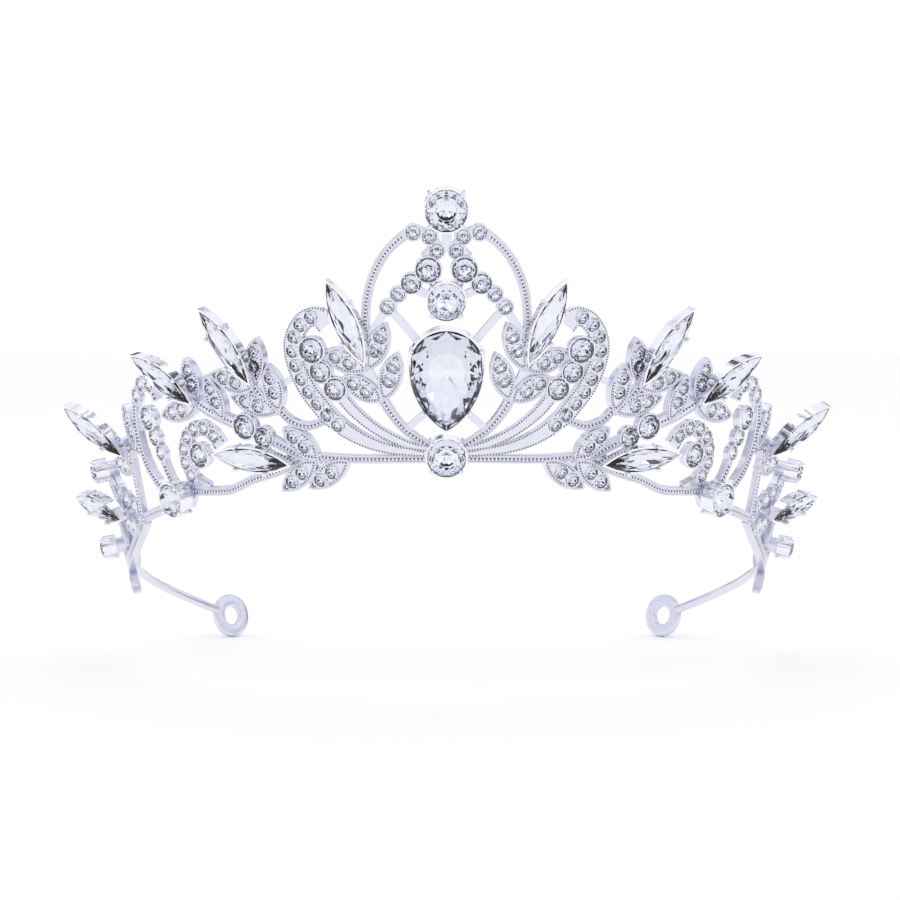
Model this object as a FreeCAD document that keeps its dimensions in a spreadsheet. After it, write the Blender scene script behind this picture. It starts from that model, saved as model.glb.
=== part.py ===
import FreeCAD, Part
import math
import os

import Sketcher
from FreeCAD import Matrix, Placement, Vector

# A bridal tiara: openwork castings bent round the head, soldered crystal cups, and two bendable arms.
#
# The tiara is drawn flat and bent on to an oval band. A place on the band is (angle, height): the angle in degrees
# round the head from the centre front, and the height in millimetres above the base line at the front. The wearer
# faces -Y, so the wearer's left is +X. Everything is drawn for the wearer's left and mirrored to the right.
# The frame's origin is the centre of the head opening, level with the base line at the front, as the tiara is worn.

doc = FreeCAD.newDocument("bridal_tiara")
sheet = doc.addObject("Spreadsheet::Sheet", "sizes")

# ---------------------------------------------------------------- driving dimensions, in mm and degrees
SIZES = [
    ("half_width", 61.0, "half the head opening, side to side"),
    ("half_depth", 56.0, "half the head opening, front to back"),
    ("band_drop", 46.0, "how far the base line would fall by the back of the head"),
    ("band_lean", 12.0, "outward lean of the band's face, degrees"),
    ("back_skin", 0.65, "casting material behind the band's middle surface"),
    ("leaf_front", 0.75, "casting material in front of it on a leaf"),
    ("bar_front", 0.6, "casting material in front of it on a bar"),
    ("leaf_width", 4.2, "width of a leaf"),
    ("scroll_width", 3.4, "width of a stone-set scroll"),
    ("seat_gap", 0.04, "clearance round a stone in its seat"),
    ("seat_floor", -0.25, "floor of a stone seat, from the band's middle surface"),
    ("collar_wall", 0.37, "metal left round a stone"),
    ("collar_back", 0.47, "metal of a collar behind the band's middle surface"),
    ("pave_radius", 1.2, "small stones on leaves and scrolls"),
    ("pave_pitch", 2.56, "spacing of the small stones"),
    ("cup_wall", 0.35, "wall of a stamped stone cup"),
    ("cup_floor", 0.4, "floor of a stamped stone cup"),
    ("cup_height", 2.6, "height of a round stone cup"),
    ("top_radius", 3.6, "round stone on the crest"),
    ("middle_radius", 3.2, "round stone above the pear"),
    ("bottom_radius", 3.35, "round stone under the pear"),
    ("junction_radius", 3.0, "round stone over the lap of two castings"),
    ("end_radius", 1.95, "round stones standing proud of the end casting"),
    ("pear_length", 17.6, "pear stone, tip to crown"),
    ("pear_width", 12.7, "pear stone, across"),
    ("pear_height", 5.2, "pear stone, culet to table"),
    ("navette_length", 15.0, "boat-shaped stone, tip to tip"),
    ("navette_width", 4.0, "boat-shaped stone, across"),
    ("navette_height", 2.9, "boat-shaped stone, keel to table"),
    ("claw_radius", 0.32, "claw wire"),
    ("claw_ball", 0.45, "ball on a claw's tip"),
    ("arm_width", 1.7, "height of an arm's flat wire"),
    ("arm_thick", 1.1, "thickness of an arm's flat wire"),
    ("loop_outer", 4.4, "outer radius of an end loop"),
    ("loop_hole", 1.9, "hole radius of an end loop"),
    ("loop_thick", 1.2, "thickness of an end loop"),
    ("pivot_radius", 0.85, "rounded root of an arm"),
    ("pivot_gap", 0.1, "clearance round that root"),
]
ROUND_STONES = ["top", "middle", "bottom", "junction", "end"]
for stone in ROUND_STONES:
    SIZES += [
        (f"{stone}_cup_outer", f"={stone}_radius + cup_wall", f"{stone} stone: outside of its cup"),
        (f"{stone}_cup_bore", f"={stone}_radius + seat_gap", f"{stone} stone: inside of its cup"),
        (f"{stone}_culet", f"={stone}_radius * 0.12", f"{stone} stone: flat at its lower end"),
        (f"{stone}_table", f"={stone}_radius * 0.55", f"{stone} stone: flat on its crown"),
        (f"{stone}_crown", f"=cup_height + {stone}_radius * 0.32", f"{stone} stone: height of that flat"),
    ]
SIZES += [
    ("girdle_low", "=cup_height - 0.35", "lower edge of a cupped stone's girdle"),
    ("girdle_high", "=cup_height - 0.1", "upper edge of a cupped stone's girdle"),
]
for row, (alias, value, meaning) in enumerate(SIZES, start=1):
    sheet.set(f"A{row}", meaning)
    sheet.set(f"B{row}", str(value))
    sheet.setAlias(f"B{row}", alias)
doc.recompute()


def size(alias):
    """A driving dimension, read from the sheet."""
    return float(sheet.get(alias))


# ---------------------------------------------------------------- layout of the wearer's left, (angle, height)
ARCH = [(3.1, 35.6), (1.6, 37.7), (2.8, 39.6), (4.8, 40.0), (6.8, 38.7), (9.0, 36.0),
        (10.8, 32.3), (11.8, 28.4), (12.2, 24.0), (12.2, 17.5)]
CREST_CHAIN = [((2.6, 33.7), 1.95), ((5.1, 31.3), 1.55), ((7.1, 29.4), 1.2), ((8.7, 27.2), 1.2)]
CREST_RAIL = [(2.0, 34.6), (5.1, 31.3), (7.1, 29.4), (8.7, 27.2), (10.6, 24.0), (12.0, 21.5)]
CREST_PAVE = [(4.7, 39.9), (2.4, 39.2), (1.4, 36.8)]
MIDDLE_STRUT = [(5.1, 30.6), (3.0, 29.4), (1.2, 28.8)]
TOP_STONE = (0.0, 44.0)
MIDDLE_STONE = (0.0, 28.6)
BOTTOM_STONE = (0.0, 1.7)
PEAR_TIP = (0.0, 6.6)

SCROLL = [(18.2, 24.0), (19.4, 25.5), (21.3, 25.2), (23.0, 23.2), (23.9, 20.6), (23.8, 18.0), (23.2, 15.6),
          (22.0, 12.8), (20.3, 10.2), (18.0, 7.3), (14.0, 4.4), (9.2, 2.6), (3.0, 1.8)]
SCROLL_STONES = 10
STEM_A = [(9.9, 11.0), (8.6, 8.6), (6.4, 5.8), (3.0, 3.2)]
STEM_B = [(20.9, 20.6), (20.2, 17.8), (19.2, 15.6), (17.4, 13.0), (14.8, 9.2), (11.0, 5.8), (6.5, 3.4), (3.0, 2.4)]
STEM_B_STONES = [((20.7, 19.9), 2.0), ((19.6, 16.1), 1.7), ((17.4, 13.1), 1.75)]
BASE_BAR = [(3.0, 0.9), (9.0, 0.8), (15.6, 0.7), (20.8, 1.0)]
LOOP_BAR = [(27.2, 9.0), (25.4, 7.2), (22.6, 6.4), (19.2, 7.6)]
SPRAY_STRUT = [(13.4, 17.2), (13.6, 13.6)]
SCROLL_LEAVES = [((12.1, 16.2), (9.0, 24.6)), ((12.1, 16.2), (19.0, 19.7)),
                 ((9.9, 10.9), (7.4, 19.5)), ((9.9, 10.9), (16.2, 15.3))]

MAIN_STEM = [(43.2, 10.2), (40.0, 8.4), (36.8, 7.0), (33.8, 6.0), (30.7, 4.5), (27.4, 2.8), (24.2, 1.2), (20.6, 0.8)]
MAIN_STONES = [((33.8, 6.3), 2.0), ((30.6, 4.4), 1.65)]
NAVETTE_SHELF = [(21.0, 0.6), (25.0, 0.2)]
INNER_SCROLL = [(39.7, 2.6), (41.2, 4.8), (43.5, 5.7), (45.9, 4.8), (47.7, 2.7), (48.4, -0.2), (47.6, -2.8),
                (46.0, -4.4), (43.6, -5.4)]
INNER_STONES = 7
INNER_BIG = ((44.2, 0.8), 1.95)
INNER_TIE = [(47.8, 0.8), (44.2, 0.8)]
LOWER_BAR = [(27.0, -1.0), (30.0, -2.2), (34.0, -3.4), (38.8, -5.4), (43.8, -5.8), (47.5, -5.9)]
LOWER_TIE = [(23.4, 0.4), (27.4, -1.4)]
BRANCH_STEM = [(31.5, 13.2), (29.6, 10.6), (27.3, 8.8)]
BRANCH_TIE = [(27.8, 13.2), (23.6, 15.2)]
BRANCH_LEAVES = [((31.7, 13.2), (30.0, 22.0)), ((31.4, 12.8), (39.6, 15.6)),
                 ((27.3, 8.8), (28.6, 17.3)), ((27.3, 8.7), (36.2, 11.6)),
                 ((21.0, 0.6), (27.0, 6.2)), ((21.4, 0.6), (28.4, -5.2)), ((15.8, 0.6), (23.4, -4.6)),
                 ((43.2, 10.2), (44.4, 18.2)), ((38.0, 7.0), (40.7, 15.2)), ((43.1, 9.6), (52.4, 7.6))]

JUNCTION = (50.4, -7.0)
SIDE_SCROLL = [(53.2, 10.4), (54.2, 13.0), (56.4, 13.6), (58.9, 11.4), (60.7, 7.0), (60.8, 2.0), (59.0, -3.0),
               (55.2, -6.6), (51.4, -7.6)]
SIDE_PAVE = [(54.4, 13.1), (56.9, 13.1), (58.9, 11.0)]
SIDE_STEM = [(56.2, 8.6), (55.8, 5.0), (54.9, 0.8), (53.4, -3.6), (51.2, -6.6)]
SIDE_STONES = [((56.0, 7.1), 1.9), ((55.5, 3.6), 1.4), ((54.6, 0.7), 1.25)]
SIDE_STRAP = [(50.8, -7.4), (56.0, -9.4), (61.0, -10.8), (66.2, -12.2)]
SIDE_SPUR = [(60.6, 0.6), (64.8, 1.2), (65.6, -3.6), (65.8, -11.0)]
SIDE_LEAVES = [((62.2, 1.0), (64.0, 9.4)), ((64.8, -2.6), (73.8, -1.8))]

END_RAIL = [(65.2, -12.2), (70.0, -15.6), (76.0, -18.8), (83.0, -21.6), (91.0, -24.0), (100.2, -25.4)]
END_STEM = [(66.2, -11.6), (68.4, -9.9), (71.6, -8.8), (75.4, -7.6), (78.4, -4.6)]
END_STRUTS = [[(78.2, -4.6), (77.2, -9.0), (77.0, -14.0), (78.6, -19.2)], [(88.0, -18.0), (87.6, -22.6)],
              [(82.0, -8.6), (79.4, -17.8)]]
END_CUPS = [((78.4, -3.4), 1.3), ((88.0, -18.6), 1.9)]
END_PAVE = [(68.4, -9.9), (71.6, -8.8), (75.0, -7.7)]
END_LEAVES = [((67.4, -14.4), (76.6, -13.0)), ((79.2, -17.6), (86.4, -12.2)), ((90.6, -23.4), (94.6, -15.8)),
              ((92.4, -24.0), (84.6, -27.6)), ((94.2, -24.2), (100.6, -18.6)), ((77.4, -10.0), (85.4, -5.6))]

PIVOT = (101.4, -25.6)
ARM = [(101.4, -25.6), (106.0, -27.2), (113.0, -29.6), (121.0, -32.4), (128.4, -35.2), (132.8, -36.9)]
LOOP_CENTRE = (133.0, -37.0)

# each boat-shaped stone: its root, a place its tip points at, and how far its cup's back stands off the band there
NAVETTES = {
    "first": ((12.2, 18.2), (17.4, 32.6), 1.0, 1.0),
    "second": ((31.0, 14.6), (38.4, 27.6), 1.0, 1.2),
    "third": ((42.8, 10.8), (53.6, 18.8), 1.0, 1.6),
    "fourth": ((64.6, 1.0), (72.1, 9.0), 1.2, 5.5),
    "lower": ((25.4, 0.2), (40.6, 1.8), 1.5, 1.5),
    "end": ((71.0, -11.8), (82.5, -7.6), 1.3, 5.5),
}


# ---------------------------------------------------------------- the bent band
def band_frame(place):
    """The point at (angle, height) on the band, and its along, up and outward directions."""
    turn = math.radians(place[0])
    height = place[1]
    wide, deep, lean = size("half_width"), size("half_depth"), math.radians(size("band_lean"))
    outward = Vector(deep * math.sin(turn), -wide * math.cos(turn), 0).normalize()
    along = Vector(wide * math.cos(turn), deep * math.sin(turn), 0).normalize()
    base_line = -size("band_drop") * math.sin(turn / 2) ** 2
    point = Vector(wide * math.sin(turn), -deep * math.cos(turn), height)
    point += outward * (math.tan(lean) * (height - base_line))
    upright = Vector(0, 0, 1)
    return point, along, upright * math.cos(lean) + outward * math.sin(lean), (
        outward * math.cos(lean) - upright * math.sin(lean))


def axes_placement(origin, x_axis, normal):
    """A Placement at origin with X along x_axis and Z as near to normal as it can be."""
    x_axis = Vector(x_axis).normalize()
    y_axis = normal.cross(x_axis).normalize()
    z_axis = x_axis.cross(y_axis)
    return Placement(Matrix(
        x_axis.x, y_axis.x, z_axis.x, origin.x,
        x_axis.y, y_axis.y, z_axis.y, origin.y,
        x_axis.z, y_axis.z, z_axis.z, origin.z,
        0, 0, 0, 1))


def place_on_band(place, rise=0.0):
    """Placement with X along the band, Y up it and Z outwards, rise above its middle surface."""
    point, along, up, normal = band_frame(place)
    return axes_placement(point + normal * rise, along, normal)


def place_between(base, tip, rise=0.0):
    """Placement with X from base to tip and Z outwards, and the distance between them."""
    start, _, _, normal_a = band_frame(base)
    end, _, _, normal_b = band_frame(tip)
    normal = (normal_a + normal_b).normalize()
    return axes_placement(start + normal * rise, end - start, normal), (end - start).Length


def smooth(points, steps=3):
    """A Catmull-Rom line through the (angle, height) points, with steps pieces between neighbours."""
    ends = [tuple(2 * a - b for a, b in zip(points[0], points[1])),
            tuple(2 * a - b for a, b in zip(points[-1], points[-2]))]
    padded = [ends[0], *points, ends[1]]
    line = []
    for p0, p1, p2, p3 in zip(padded, padded[1:], padded[2:], padded[3:]):
        for step in range(steps):
            u = step / steps
            line.append(tuple(
                0.5 * (2 * b + (c - a) * u + (2 * a - 5 * b + 4 * c - d) * u ** 2
                       + (3 * b - a - 3 * c + d) * u ** 3) for a, b, c, d in zip(p0, p1, p2, p3)))
    return line + [tuple(points[-1])]


def spaced(points, pitch, count, lead):
    """count places along the smooth line, pitch mm apart, the first lead mm from its start."""
    line = smooth(points, 8)
    spots, travelled, wanted = [], 0.0, lead
    for a, b in zip(line, line[1:]):
        gap = (band_frame(b)[0] - band_frame(a)[0]).Length
        while travelled + gap >= wanted and len(spots) < count:
            share = (wanted - travelled) / gap
            spots.append(tuple(p + (q - p) * share for p, q in zip(a, b)))
            wanted += pitch
        travelled += gap
    return spots


# ---------------------------------------------------------------- pieces of a casting
def bar(points, width, end_width=None, front=None, back=None, steps=2, taper_from=0.0):
    """A flat bar that follows the band through points, tapering to end_width past the share taper_from."""
    front = size("bar_front") if front is None else front
    back = size("back_skin") if back is None else back
    end_width = width if end_width is None else end_width
    line = smooth(points, steps)
    spots = [band_frame(p) for p in line]
    sections = []
    for i, (point, _, _, normal) in enumerate(spots):
        ahead = spots[min(i + 1, len(spots) - 1)][0] - spots[max(i - 1, 0)][0]
        across = normal.cross(ahead).normalize()
        share = max(0.0, i / (len(spots) - 1) - taper_from) / (1 - taper_from)
        half = (width + (end_width - width) * share) / 2
        sections.append([point + across * (half * a) + normal * n
                         for a, n in ((-1, -back), (1, -back), (1, front), (-1, front))])
    return skin(sections)


def skin(sections):
    """A solid of flat facets through four-cornered sections."""
    faces = [flat_face(sections[0][::-1]), flat_face(sections[-1])]
    for near, far in zip(sections, sections[1:]):
        for i in range(4):
            k = (i + 1) % 4
            faces += [flat_face([near[i], near[k], far[k]]), flat_face([near[i], far[k], far[i]])]
    solid = Part.Solid(Part.Shell(faces))
    if solid.Volume < 0:
        solid.reverse()
    return solid


def flat_face(corners):
    return Part.Face(Part.makePolygon([*corners, corners[0]]))


def lens_wire(length, width, inset=0.0, rise=0.0):
    """A pointed oval from (0, 0) to (length, 0), drawn in by inset all round."""
    arc_radius = (length ** 2 + width ** 2) / (4 * width)
    sag = arc_radius - width / 2
    half_length = math.sqrt((arc_radius - inset) ** 2 - sag ** 2)
    half_width = width / 2 - inset
    middle = length / 2
    tips = Vector(middle - half_length, 0, rise), Vector(middle + half_length, 0, rise)
    upper = Part.Arc(tips[0], Vector(middle, half_width, rise), tips[1]).toShape()
    lower = Part.Arc(tips[1], Vector(middle, -half_width, rise), tips[0]).toShape()
    return Part.Wire([upper, lower])


def prism(wire, height):
    """The solid that wire sweeps when it is pushed height along Z."""
    return Part.Face(wire).extrude(Vector(0, 0, height))


def leaf(base, tip):
    """A pointed leaf plate."""
    placement, length = place_between(base, tip, -size("back_skin"))
    plate = prism(lens_wire(length, size("leaf_width")), size("back_skin") + size("leaf_front"))
    plate.Placement = placement
    return plate


def leaf_seats(base, tip):
    """The places of a leaf's two stones, either side of a point a little past its middle."""
    length = place_between(base, tip)[1]
    shares = [0.56 + side * size("pave_pitch") / 2 / length for side in (-1, 1)]
    return [tuple(b + (t - b) * share for b, t in zip(base, tip)) for share in shares]


def collar(place, radius):
    """The raised ring of metal round a stone."""
    ring = Part.makeCylinder(radius + size("collar_wall"), size("collar_back") + seat_top(radius))
    ring.Placement = place_on_band(place, -size("collar_back"))
    return ring


def girdle_height(radius):
    """Height of a stone's widest line above the band's middle surface."""
    return size("seat_floor") + 0.6 * radius


def seat_top(radius):
    """Height of the metal round a stone."""
    return girdle_height(radius) + 0.15


def seat_cutter(place, radius):
    """What a drill takes out for one stone."""
    drill = Part.makeCylinder(radius + size("seat_gap"), 4.0)
    drill.Placement = place_on_band(place, size("seat_floor"))
    return drill


def round_stone(place, radius):
    """A round stone: cone below the girdle, and crown with a flat table above."""
    depth = girdle_height(radius) - size("seat_floor")
    pavilion = [(0, 0), (0.12 * radius, 0), (radius, depth)]
    crown = [(radius, depth + 0.08 * radius), (0.55 * radius, depth + 0.42 * radius), (0, depth + 0.42 * radius)]
    profile = [Vector(r, 0, z) for r, z in pavilion + crown]
    stone = Part.Face(Part.makePolygon([*profile, profile[0]])).revolve(Vector(0, 0, 0), Vector(0, 0, 1), 360)
    stone.Placement = place_on_band(place, size("seat_floor"))
    return stone


def cast(name, pieces, seats=(), cutters=()):
    """One casting: pieces fused, stone seats drilled and everything in cutters removed."""
    solid = pieces[0].fuse(pieces[1:]) if len(pieces) > 1 else pieces[0]
    for tool in [seat_cutter(place, radius) for place, radius in seats] + list(cutters):
        solid = solid.cut(tool)
    kept = max(solid.Solids, key=lambda s: s.Volume)
    dropped = sum(s.Volume for s in solid.Solids) - kept.Volume
    if dropped > 0.5:
        print(f"  {name}: {dropped:.2f} mm3 of loose metal left out, in {len(solid.Solids) - 1} bits")
    return kept


def mirrored_shape(shape):
    return shape.mirror(Vector(0, 0, 0), Vector(1, 0, 0))


# ---------------------------------------------------------------- nodes of the document
NODES = []


def node(thing, label):
    """Names a finished sub-part; its label is its file's name."""
    thing.Label = label
    NODES.append(thing)
    return thing


def shape_node(label, shape):
    """A sub-part whose bent shape no single feature makes."""
    thing = doc.addObject("Part::Feature", label)
    thing.Shape = shape
    return node(thing, label)


def group_node(label, members):
    """A sub-part made of several like pieces, each its own solid."""
    group = doc.addObject("Part::Compound", label)
    group.Links = members
    return node(group, label)


def mirror_node(source, label):
    """The wearer's right-hand twin of a left-hand sub-part."""
    twin = doc.addObject("Part::Mirroring", label)
    twin.Source = source
    twin.Base = (0, 0, 0)
    twin.Normal = (1, 0, 0)
    return node(twin, label)


def pair(name, shape):
    """A left-hand sub-part and its right-hand twin."""
    return mirror_node(shape_node("left_" + name, shape), "right_" + name)


def turned_body(label, profile, placement):
    """A PartDesign body turned about Z; each corner of the profile is a pair of cell names, or 0."""
    body = doc.addObject("PartDesign::Body", label)
    sketch = body.newObject("Sketcher::SketchObject", label + "_profile")
    plane = next(f for f in body.Origin.OriginFeatures if f.Role == "XZ_Plane")
    sketch.AttachmentSupport = (plane, [""])
    sketch.MapMode = "FlatFace"
    doc.recompute()
    corners = [Vector(*(size(cell) if cell else 0 for cell in corner), 0) for corner in profile]
    count = len(corners)
    for i, corner in enumerate(corners):
        sketch.addGeometry(Part.LineSegment(corner, corners[(i + 1) % count]), False)
    for i in range(count):
        sketch.addConstraint(Sketcher.Constraint("Coincident", i, 2, (i + 1) % count, 1))
    for i, (radius_cell, height_cell) in enumerate(profile):
        for kind, axis, cell in (("DistanceX", -2, radius_cell), ("DistanceY", -1, height_cell)):
            if cell:
                index = sketch.addConstraint(Sketcher.Constraint(kind, -1, 1, i, 1, size(cell)))
                sketch.setExpression(f"Constraints[{index}]", "sizes." + cell)
            else:
                sketch.addConstraint(Sketcher.Constraint("PointOnObject", i, 1, axis))
    turned = body.newObject("PartDesign::Revolution", label + "_turned")
    turned.Profile = sketch
    turned.ReferenceAxis = (sketch, ["V_Axis"])
    turned.Angle = 360
    body.Placement = placement
    body.Label = label
    return body


def round_setting(stone, cup_label, crystal_label, place, rise):
    """A stamped round cup and the crystal in it."""
    outer, bore = f"{stone}_cup_outer", f"{stone}_cup_bore"
    placement = place_on_band(place, rise)
    cup = turned_body(cup_label, [
        (0, 0), (outer, 0), (outer, "cup_height"), (bore, "cup_height"), (bore, "cup_floor"), (0, "cup_floor"),
    ], placement)
    crystal = turned_body(crystal_label, [
        (0, "cup_floor"), (f"{stone}_culet", "cup_floor"), (f"{stone}_radius", "girdle_low"),
        (f"{stone}_radius", "girdle_high"), (f"{stone}_table", f"{stone}_crown"), (0, f"{stone}_crown"),
    ], placement)
    return cup, crystal


def round_envelope(stone, place, rise):
    """The room a round cup and its stone need in front of the band."""
    room = Part.makeCylinder(size(f"{stone}_cup_outer"), size("cup_height") + 2)
    room.Placement = place_on_band(place, rise)
    return room


def pad(place, radius, rise):
    """A disc of the casting whose front face a cup is soldered on."""
    disc = Part.makeCylinder(radius, size("back_skin") + rise)
    disc.Placement = place_on_band(place, -size("back_skin"))
    return disc


# ---------------------------------------------------------------- boat-shaped and pear-shaped settings
def pear_wire(length, width, scale=1.0, grow=0.0, rise=0.0):
    """A pear outline, tip near the origin and crown towards +X, scaled about its widest line and grown all round."""
    half = width / 2
    centre = length - half
    reach, cap = scale * centre, scale * half
    arc_radius = (reach ** 2 + cap ** 2) / (2 * cap) + grow
    cap += grow
    drop = arc_radius - cap
    tip = Vector(centre - math.sqrt(arc_radius ** 2 - drop ** 2), 0, rise)
    bend = math.asin(drop / arc_radius)
    half_bend = (math.pi / 2 + bend) / 2
    wide = Vector(centre, cap, rise), Vector(centre, -cap, rise)
    flank_x = centre - arc_radius * math.cos(half_bend)
    flank_y = arc_radius * math.sin(half_bend) - drop
    return Part.Wire([
        Part.Arc(tip, Vector(flank_x, -flank_y, rise), wide[1]).toShape(),
        Part.Arc(wide[1], Vector(centre + cap, 0, rise), wide[0]).toShape(),
        Part.Arc(wide[0], Vector(flank_x, flank_y, rise), tip).toShape(),
    ])


def claw(x, y, outward, girdle):
    """A claw wire up the side of a cup, ending in a ball over the girdle."""
    away = Vector(*outward, 0).normalize() * (size("claw_radius") + size("seat_gap"))
    foot = Vector(x, y, 0.1) + away
    top = Vector(x, y, girdle + 0.42) + away
    wire = Part.makeCylinder(size("claw_radius"), top.z - foot.z, foot)
    ball = Part.makeSphere(size("claw_ball"), top)
    return wire.fuse(ball)


def lens_claws(length, width, girdle):
    """Four claws on a boat-shaped outline, a third of the way from each tip."""
    arc_radius = (length ** 2 + width ** 2) / (4 * width)
    sag = arc_radius - width / 2
    claws = []
    for share in (0.3, 0.7):
        x = length * (share - 0.5)
        y = math.sqrt(arc_radius ** 2 - x ** 2) - sag
        slope = (x / arc_radius, (y + sag) / arc_radius)
        claws += [claw(length * share, y * side, (slope[0], slope[1] * side), girdle) for side in (-1, 1)]
    return claws


def navette_setting():
    """A claw cup for a boat-shaped stone, its back on Z = 0."""
    length, width = size("navette_length"), size("navette_width")
    girdle = size("cup_floor") + 0.55 * size("navette_height")
    wall = size("cup_wall") + size("seat_gap")
    body = prism(lens_wire(length, width, -wall), girdle)
    hollow = prism(lens_wire(length, width, -size("seat_gap"), size("cup_floor")), girdle)
    return body.cut(hollow).fuse(lens_claws(length, width, girdle))


def navette_crystal():
    """The stone of that cup, a keel below and a flat table above its girdle."""
    length, width, height = size("navette_length"), size("navette_width"), size("navette_height")
    floor = size("cup_floor")
    girdle = floor + 0.55 * height
    layers = [(0.42 * width, floor), (0, girdle), (0, girdle + 0.12), (0.24 * width, floor + height)]
    return Part.makeLoft([lens_wire(length, width, inset, z) for inset, z in layers], True, True)


def navette_placement(root, aim, root_rise, aim_rise):
    """Where a boat-shaped setting stands: X from root towards its aim, Z away from the head."""
    start, _, _, normal_a = band_frame(root)
    end, _, _, normal_b = band_frame(aim)
    start += normal_a * root_rise
    end += normal_b * aim_rise
    return axes_placement(start, end - start, (normal_a + normal_b).normalize())


def navette_foot(name):
    """The stub of casting that a boat-shaped cup's root is soldered on."""
    root, aim, root_rise, aim_rise = NAVETTES[name]
    reach = 1.6
    tilt = (aim_rise - root_rise) / (band_frame(aim)[0] - band_frame(root)[0]).Length
    depth = root_rise + reach * tilt + size("back_skin")
    foot = Part.makeCylinder(1.0, depth, Vector(reach, 0, -depth))
    foot.Placement = navette_placement(root, aim, root_rise, aim_rise)
    return foot


def navette_room(name):
    """The room a boat-shaped setting needs."""
    grown = size("cup_wall") + size("seat_gap") + 0.25
    room = prism(lens_wire(size("navette_length"), size("navette_width"), -grown), 6.0)
    room.Placement = navette_placement(*NAVETTES[name])
    return room


def pear_parts():
    """The pear stone's claw cup, and the stone."""
    length, width, height = size("pear_length"), size("pear_width"), size("pear_height")
    floor = size("cup_floor")
    girdle = floor + 0.55 * height
    gap, wall = size("seat_gap"), size("cup_wall") + size("seat_gap")
    hollow = prism(pear_wire(length, width, 1.0, gap, floor), girdle)
    window = prism(pear_wire(length, width, 0.55, 0.0, -1.0), 3.0)
    cup = prism(pear_wire(length, width, 1.0, wall), girdle).cut([hollow, window])
    half = width / 2
    claws = []
    for turn in (-65, 65):
        out = (math.cos(math.radians(turn)), math.sin(math.radians(turn)))
        claws.append(claw(length - half + half * out[0], half * out[1], out, girdle))
    reach = length - half
    arc_radius = (reach ** 2 + half ** 2) / (2 * half)
    along = 3.4 - reach
    flank = math.sqrt(arc_radius ** 2 - along ** 2)
    for side in (-1, 1):
        y = (flank - (arc_radius - half)) * side
        claws.append(claw(3.4, y, (along / arc_radius, flank / arc_radius * side), girdle))
    layers = [(0.3, floor), (1.0, girdle), (1.0, girdle + 0.15), (0.62, floor + height)]
    stone = Part.makeLoft([pear_wire(length, width, scale, 0.0, z) for scale, z in layers], True, True)
    return cup.fuse(claws), stone


# ---------------------------------------------------------------- the castings, wearer's left
def leaves_of(pairs):
    """The plates of some leaves, and the (place, radius) of the stones on them."""
    stones = [(spot, size("pave_radius")) for base, tip in pairs for spot in leaf_seats(base, tip)]
    return [leaf(base, tip) for base, tip in pairs], stones


def collars(stones):
    return [collar(place, radius) for place, radius in stones]


def rooms(*names):
    return [navette_room(name) for name in names]


# the wings butt together behind the bottom stone, 0.06 apart
half_space = Part.makeBox(200, 300, 300, Vector(-199.97, -150, -150))
pave = size("pave_radius")
scroll_width = size("scroll_width")
cup_rise = size("bar_front")
bottom_room = round_envelope("bottom", BOTTOM_STONE, cup_rise)
middle_room = round_envelope("middle", MIDDLE_STONE, cup_rise)
top_room = round_envelope("top", TOP_STONE, cup_rise)
junction_room = round_envelope("junction", JUNCTION, cup_rise + 0.5)
pear_placement = axes_placement(band_frame(PEAR_TIP)[0] + band_frame(PEAR_TIP)[3] * cup_rise,
                                band_frame(PEAR_TIP)[2], band_frame(PEAR_TIP)[3])
pear_room = prism(pear_wire(size("pear_length"), size("pear_width"), 1.0, 1.0), 8.0)
pear_room.Placement = pear_placement

# the wing: first spray of leaves and the big scroll
wing_leaves, wing_small = leaves_of(SCROLL_LEAVES + BRANCH_LEAVES[6:7])
scroll_stones = [(spot, pave) for spot in spaced(SCROLL, size("pave_pitch"), SCROLL_STONES, 3.4)]
wing_stones = wing_small + scroll_stones + STEM_B_STONES
wing = cast(
    "wing",
    wing_leaves + collars(STEM_B_STONES) + [
        bar(SCROLL, scroll_width, 1.2, front=0.68, back=0.72, taper_from=0.7),
        bar(STEM_A, 1.8, 1.4, front=0.5, back=0.6),
        bar(STEM_B, 3.0, 1.3, front=0.55, back=0.62),
        bar(BASE_BAR, 1.5, front=0.45, back=0.58),
        bar(SPRAY_STRUT, 1.2, front=0.3, back=0.5),
        bar([(12.2, 18.6), (12.0, 16.0), (11.0, 13.4), (9.8, 10.7)], 1.6, front=0.4, back=0.55),
        bar([(3.4, 1.7), (-0.4, 1.7)], 3.2, front=cup_rise, back=0.7),
        bar([(6.4, 5.9), (3.6, 8.6), (2.0, 9.2)], 1.2, front=cup_rise, back=0.5),
        navette_foot("first"),
    ],
    wing_stones,
    [half_space, bottom_room, pear_room] + rooms("first"),
)

# the crest: both arches in one casting, lapped over the wings
crest_half_stones = CREST_CHAIN + [(place, pave) for place in CREST_PAVE]
crest_half = [
    bar(ARCH, 2.1, 1.3),
    bar(CREST_RAIL, 1.5, front=0.5, back=0.57),
    bar(MIDDLE_STRUT, 1.4, front=0.53, back=0.54),
    bar([(8.7, 27.0), (6.6, 24.4), (4.6, 21.6)], 1.3, front=cup_rise, back=0.5),
] + collars(crest_half_stones)
crest = cast(
    "crest",
    crest_half + [mirrored_shape(piece) for piece in crest_half] + [
        bar([(0.0, 36.6), (0.0, 43.0)], 1.8, front=0.56, back=0.62),
        pad(TOP_STONE, 2.4, cup_rise),
        pad(MIDDLE_STONE, 2.8, cup_rise),
    ],
    crest_half_stones + [((-place[0], place[1]), radius) for place, radius in crest_half_stones],
    [top_room, middle_room, pear_room, wing, mirrored_shape(wing)]
    + rooms("first") + [mirrored_shape(navette_room("first"))],
)

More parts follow.
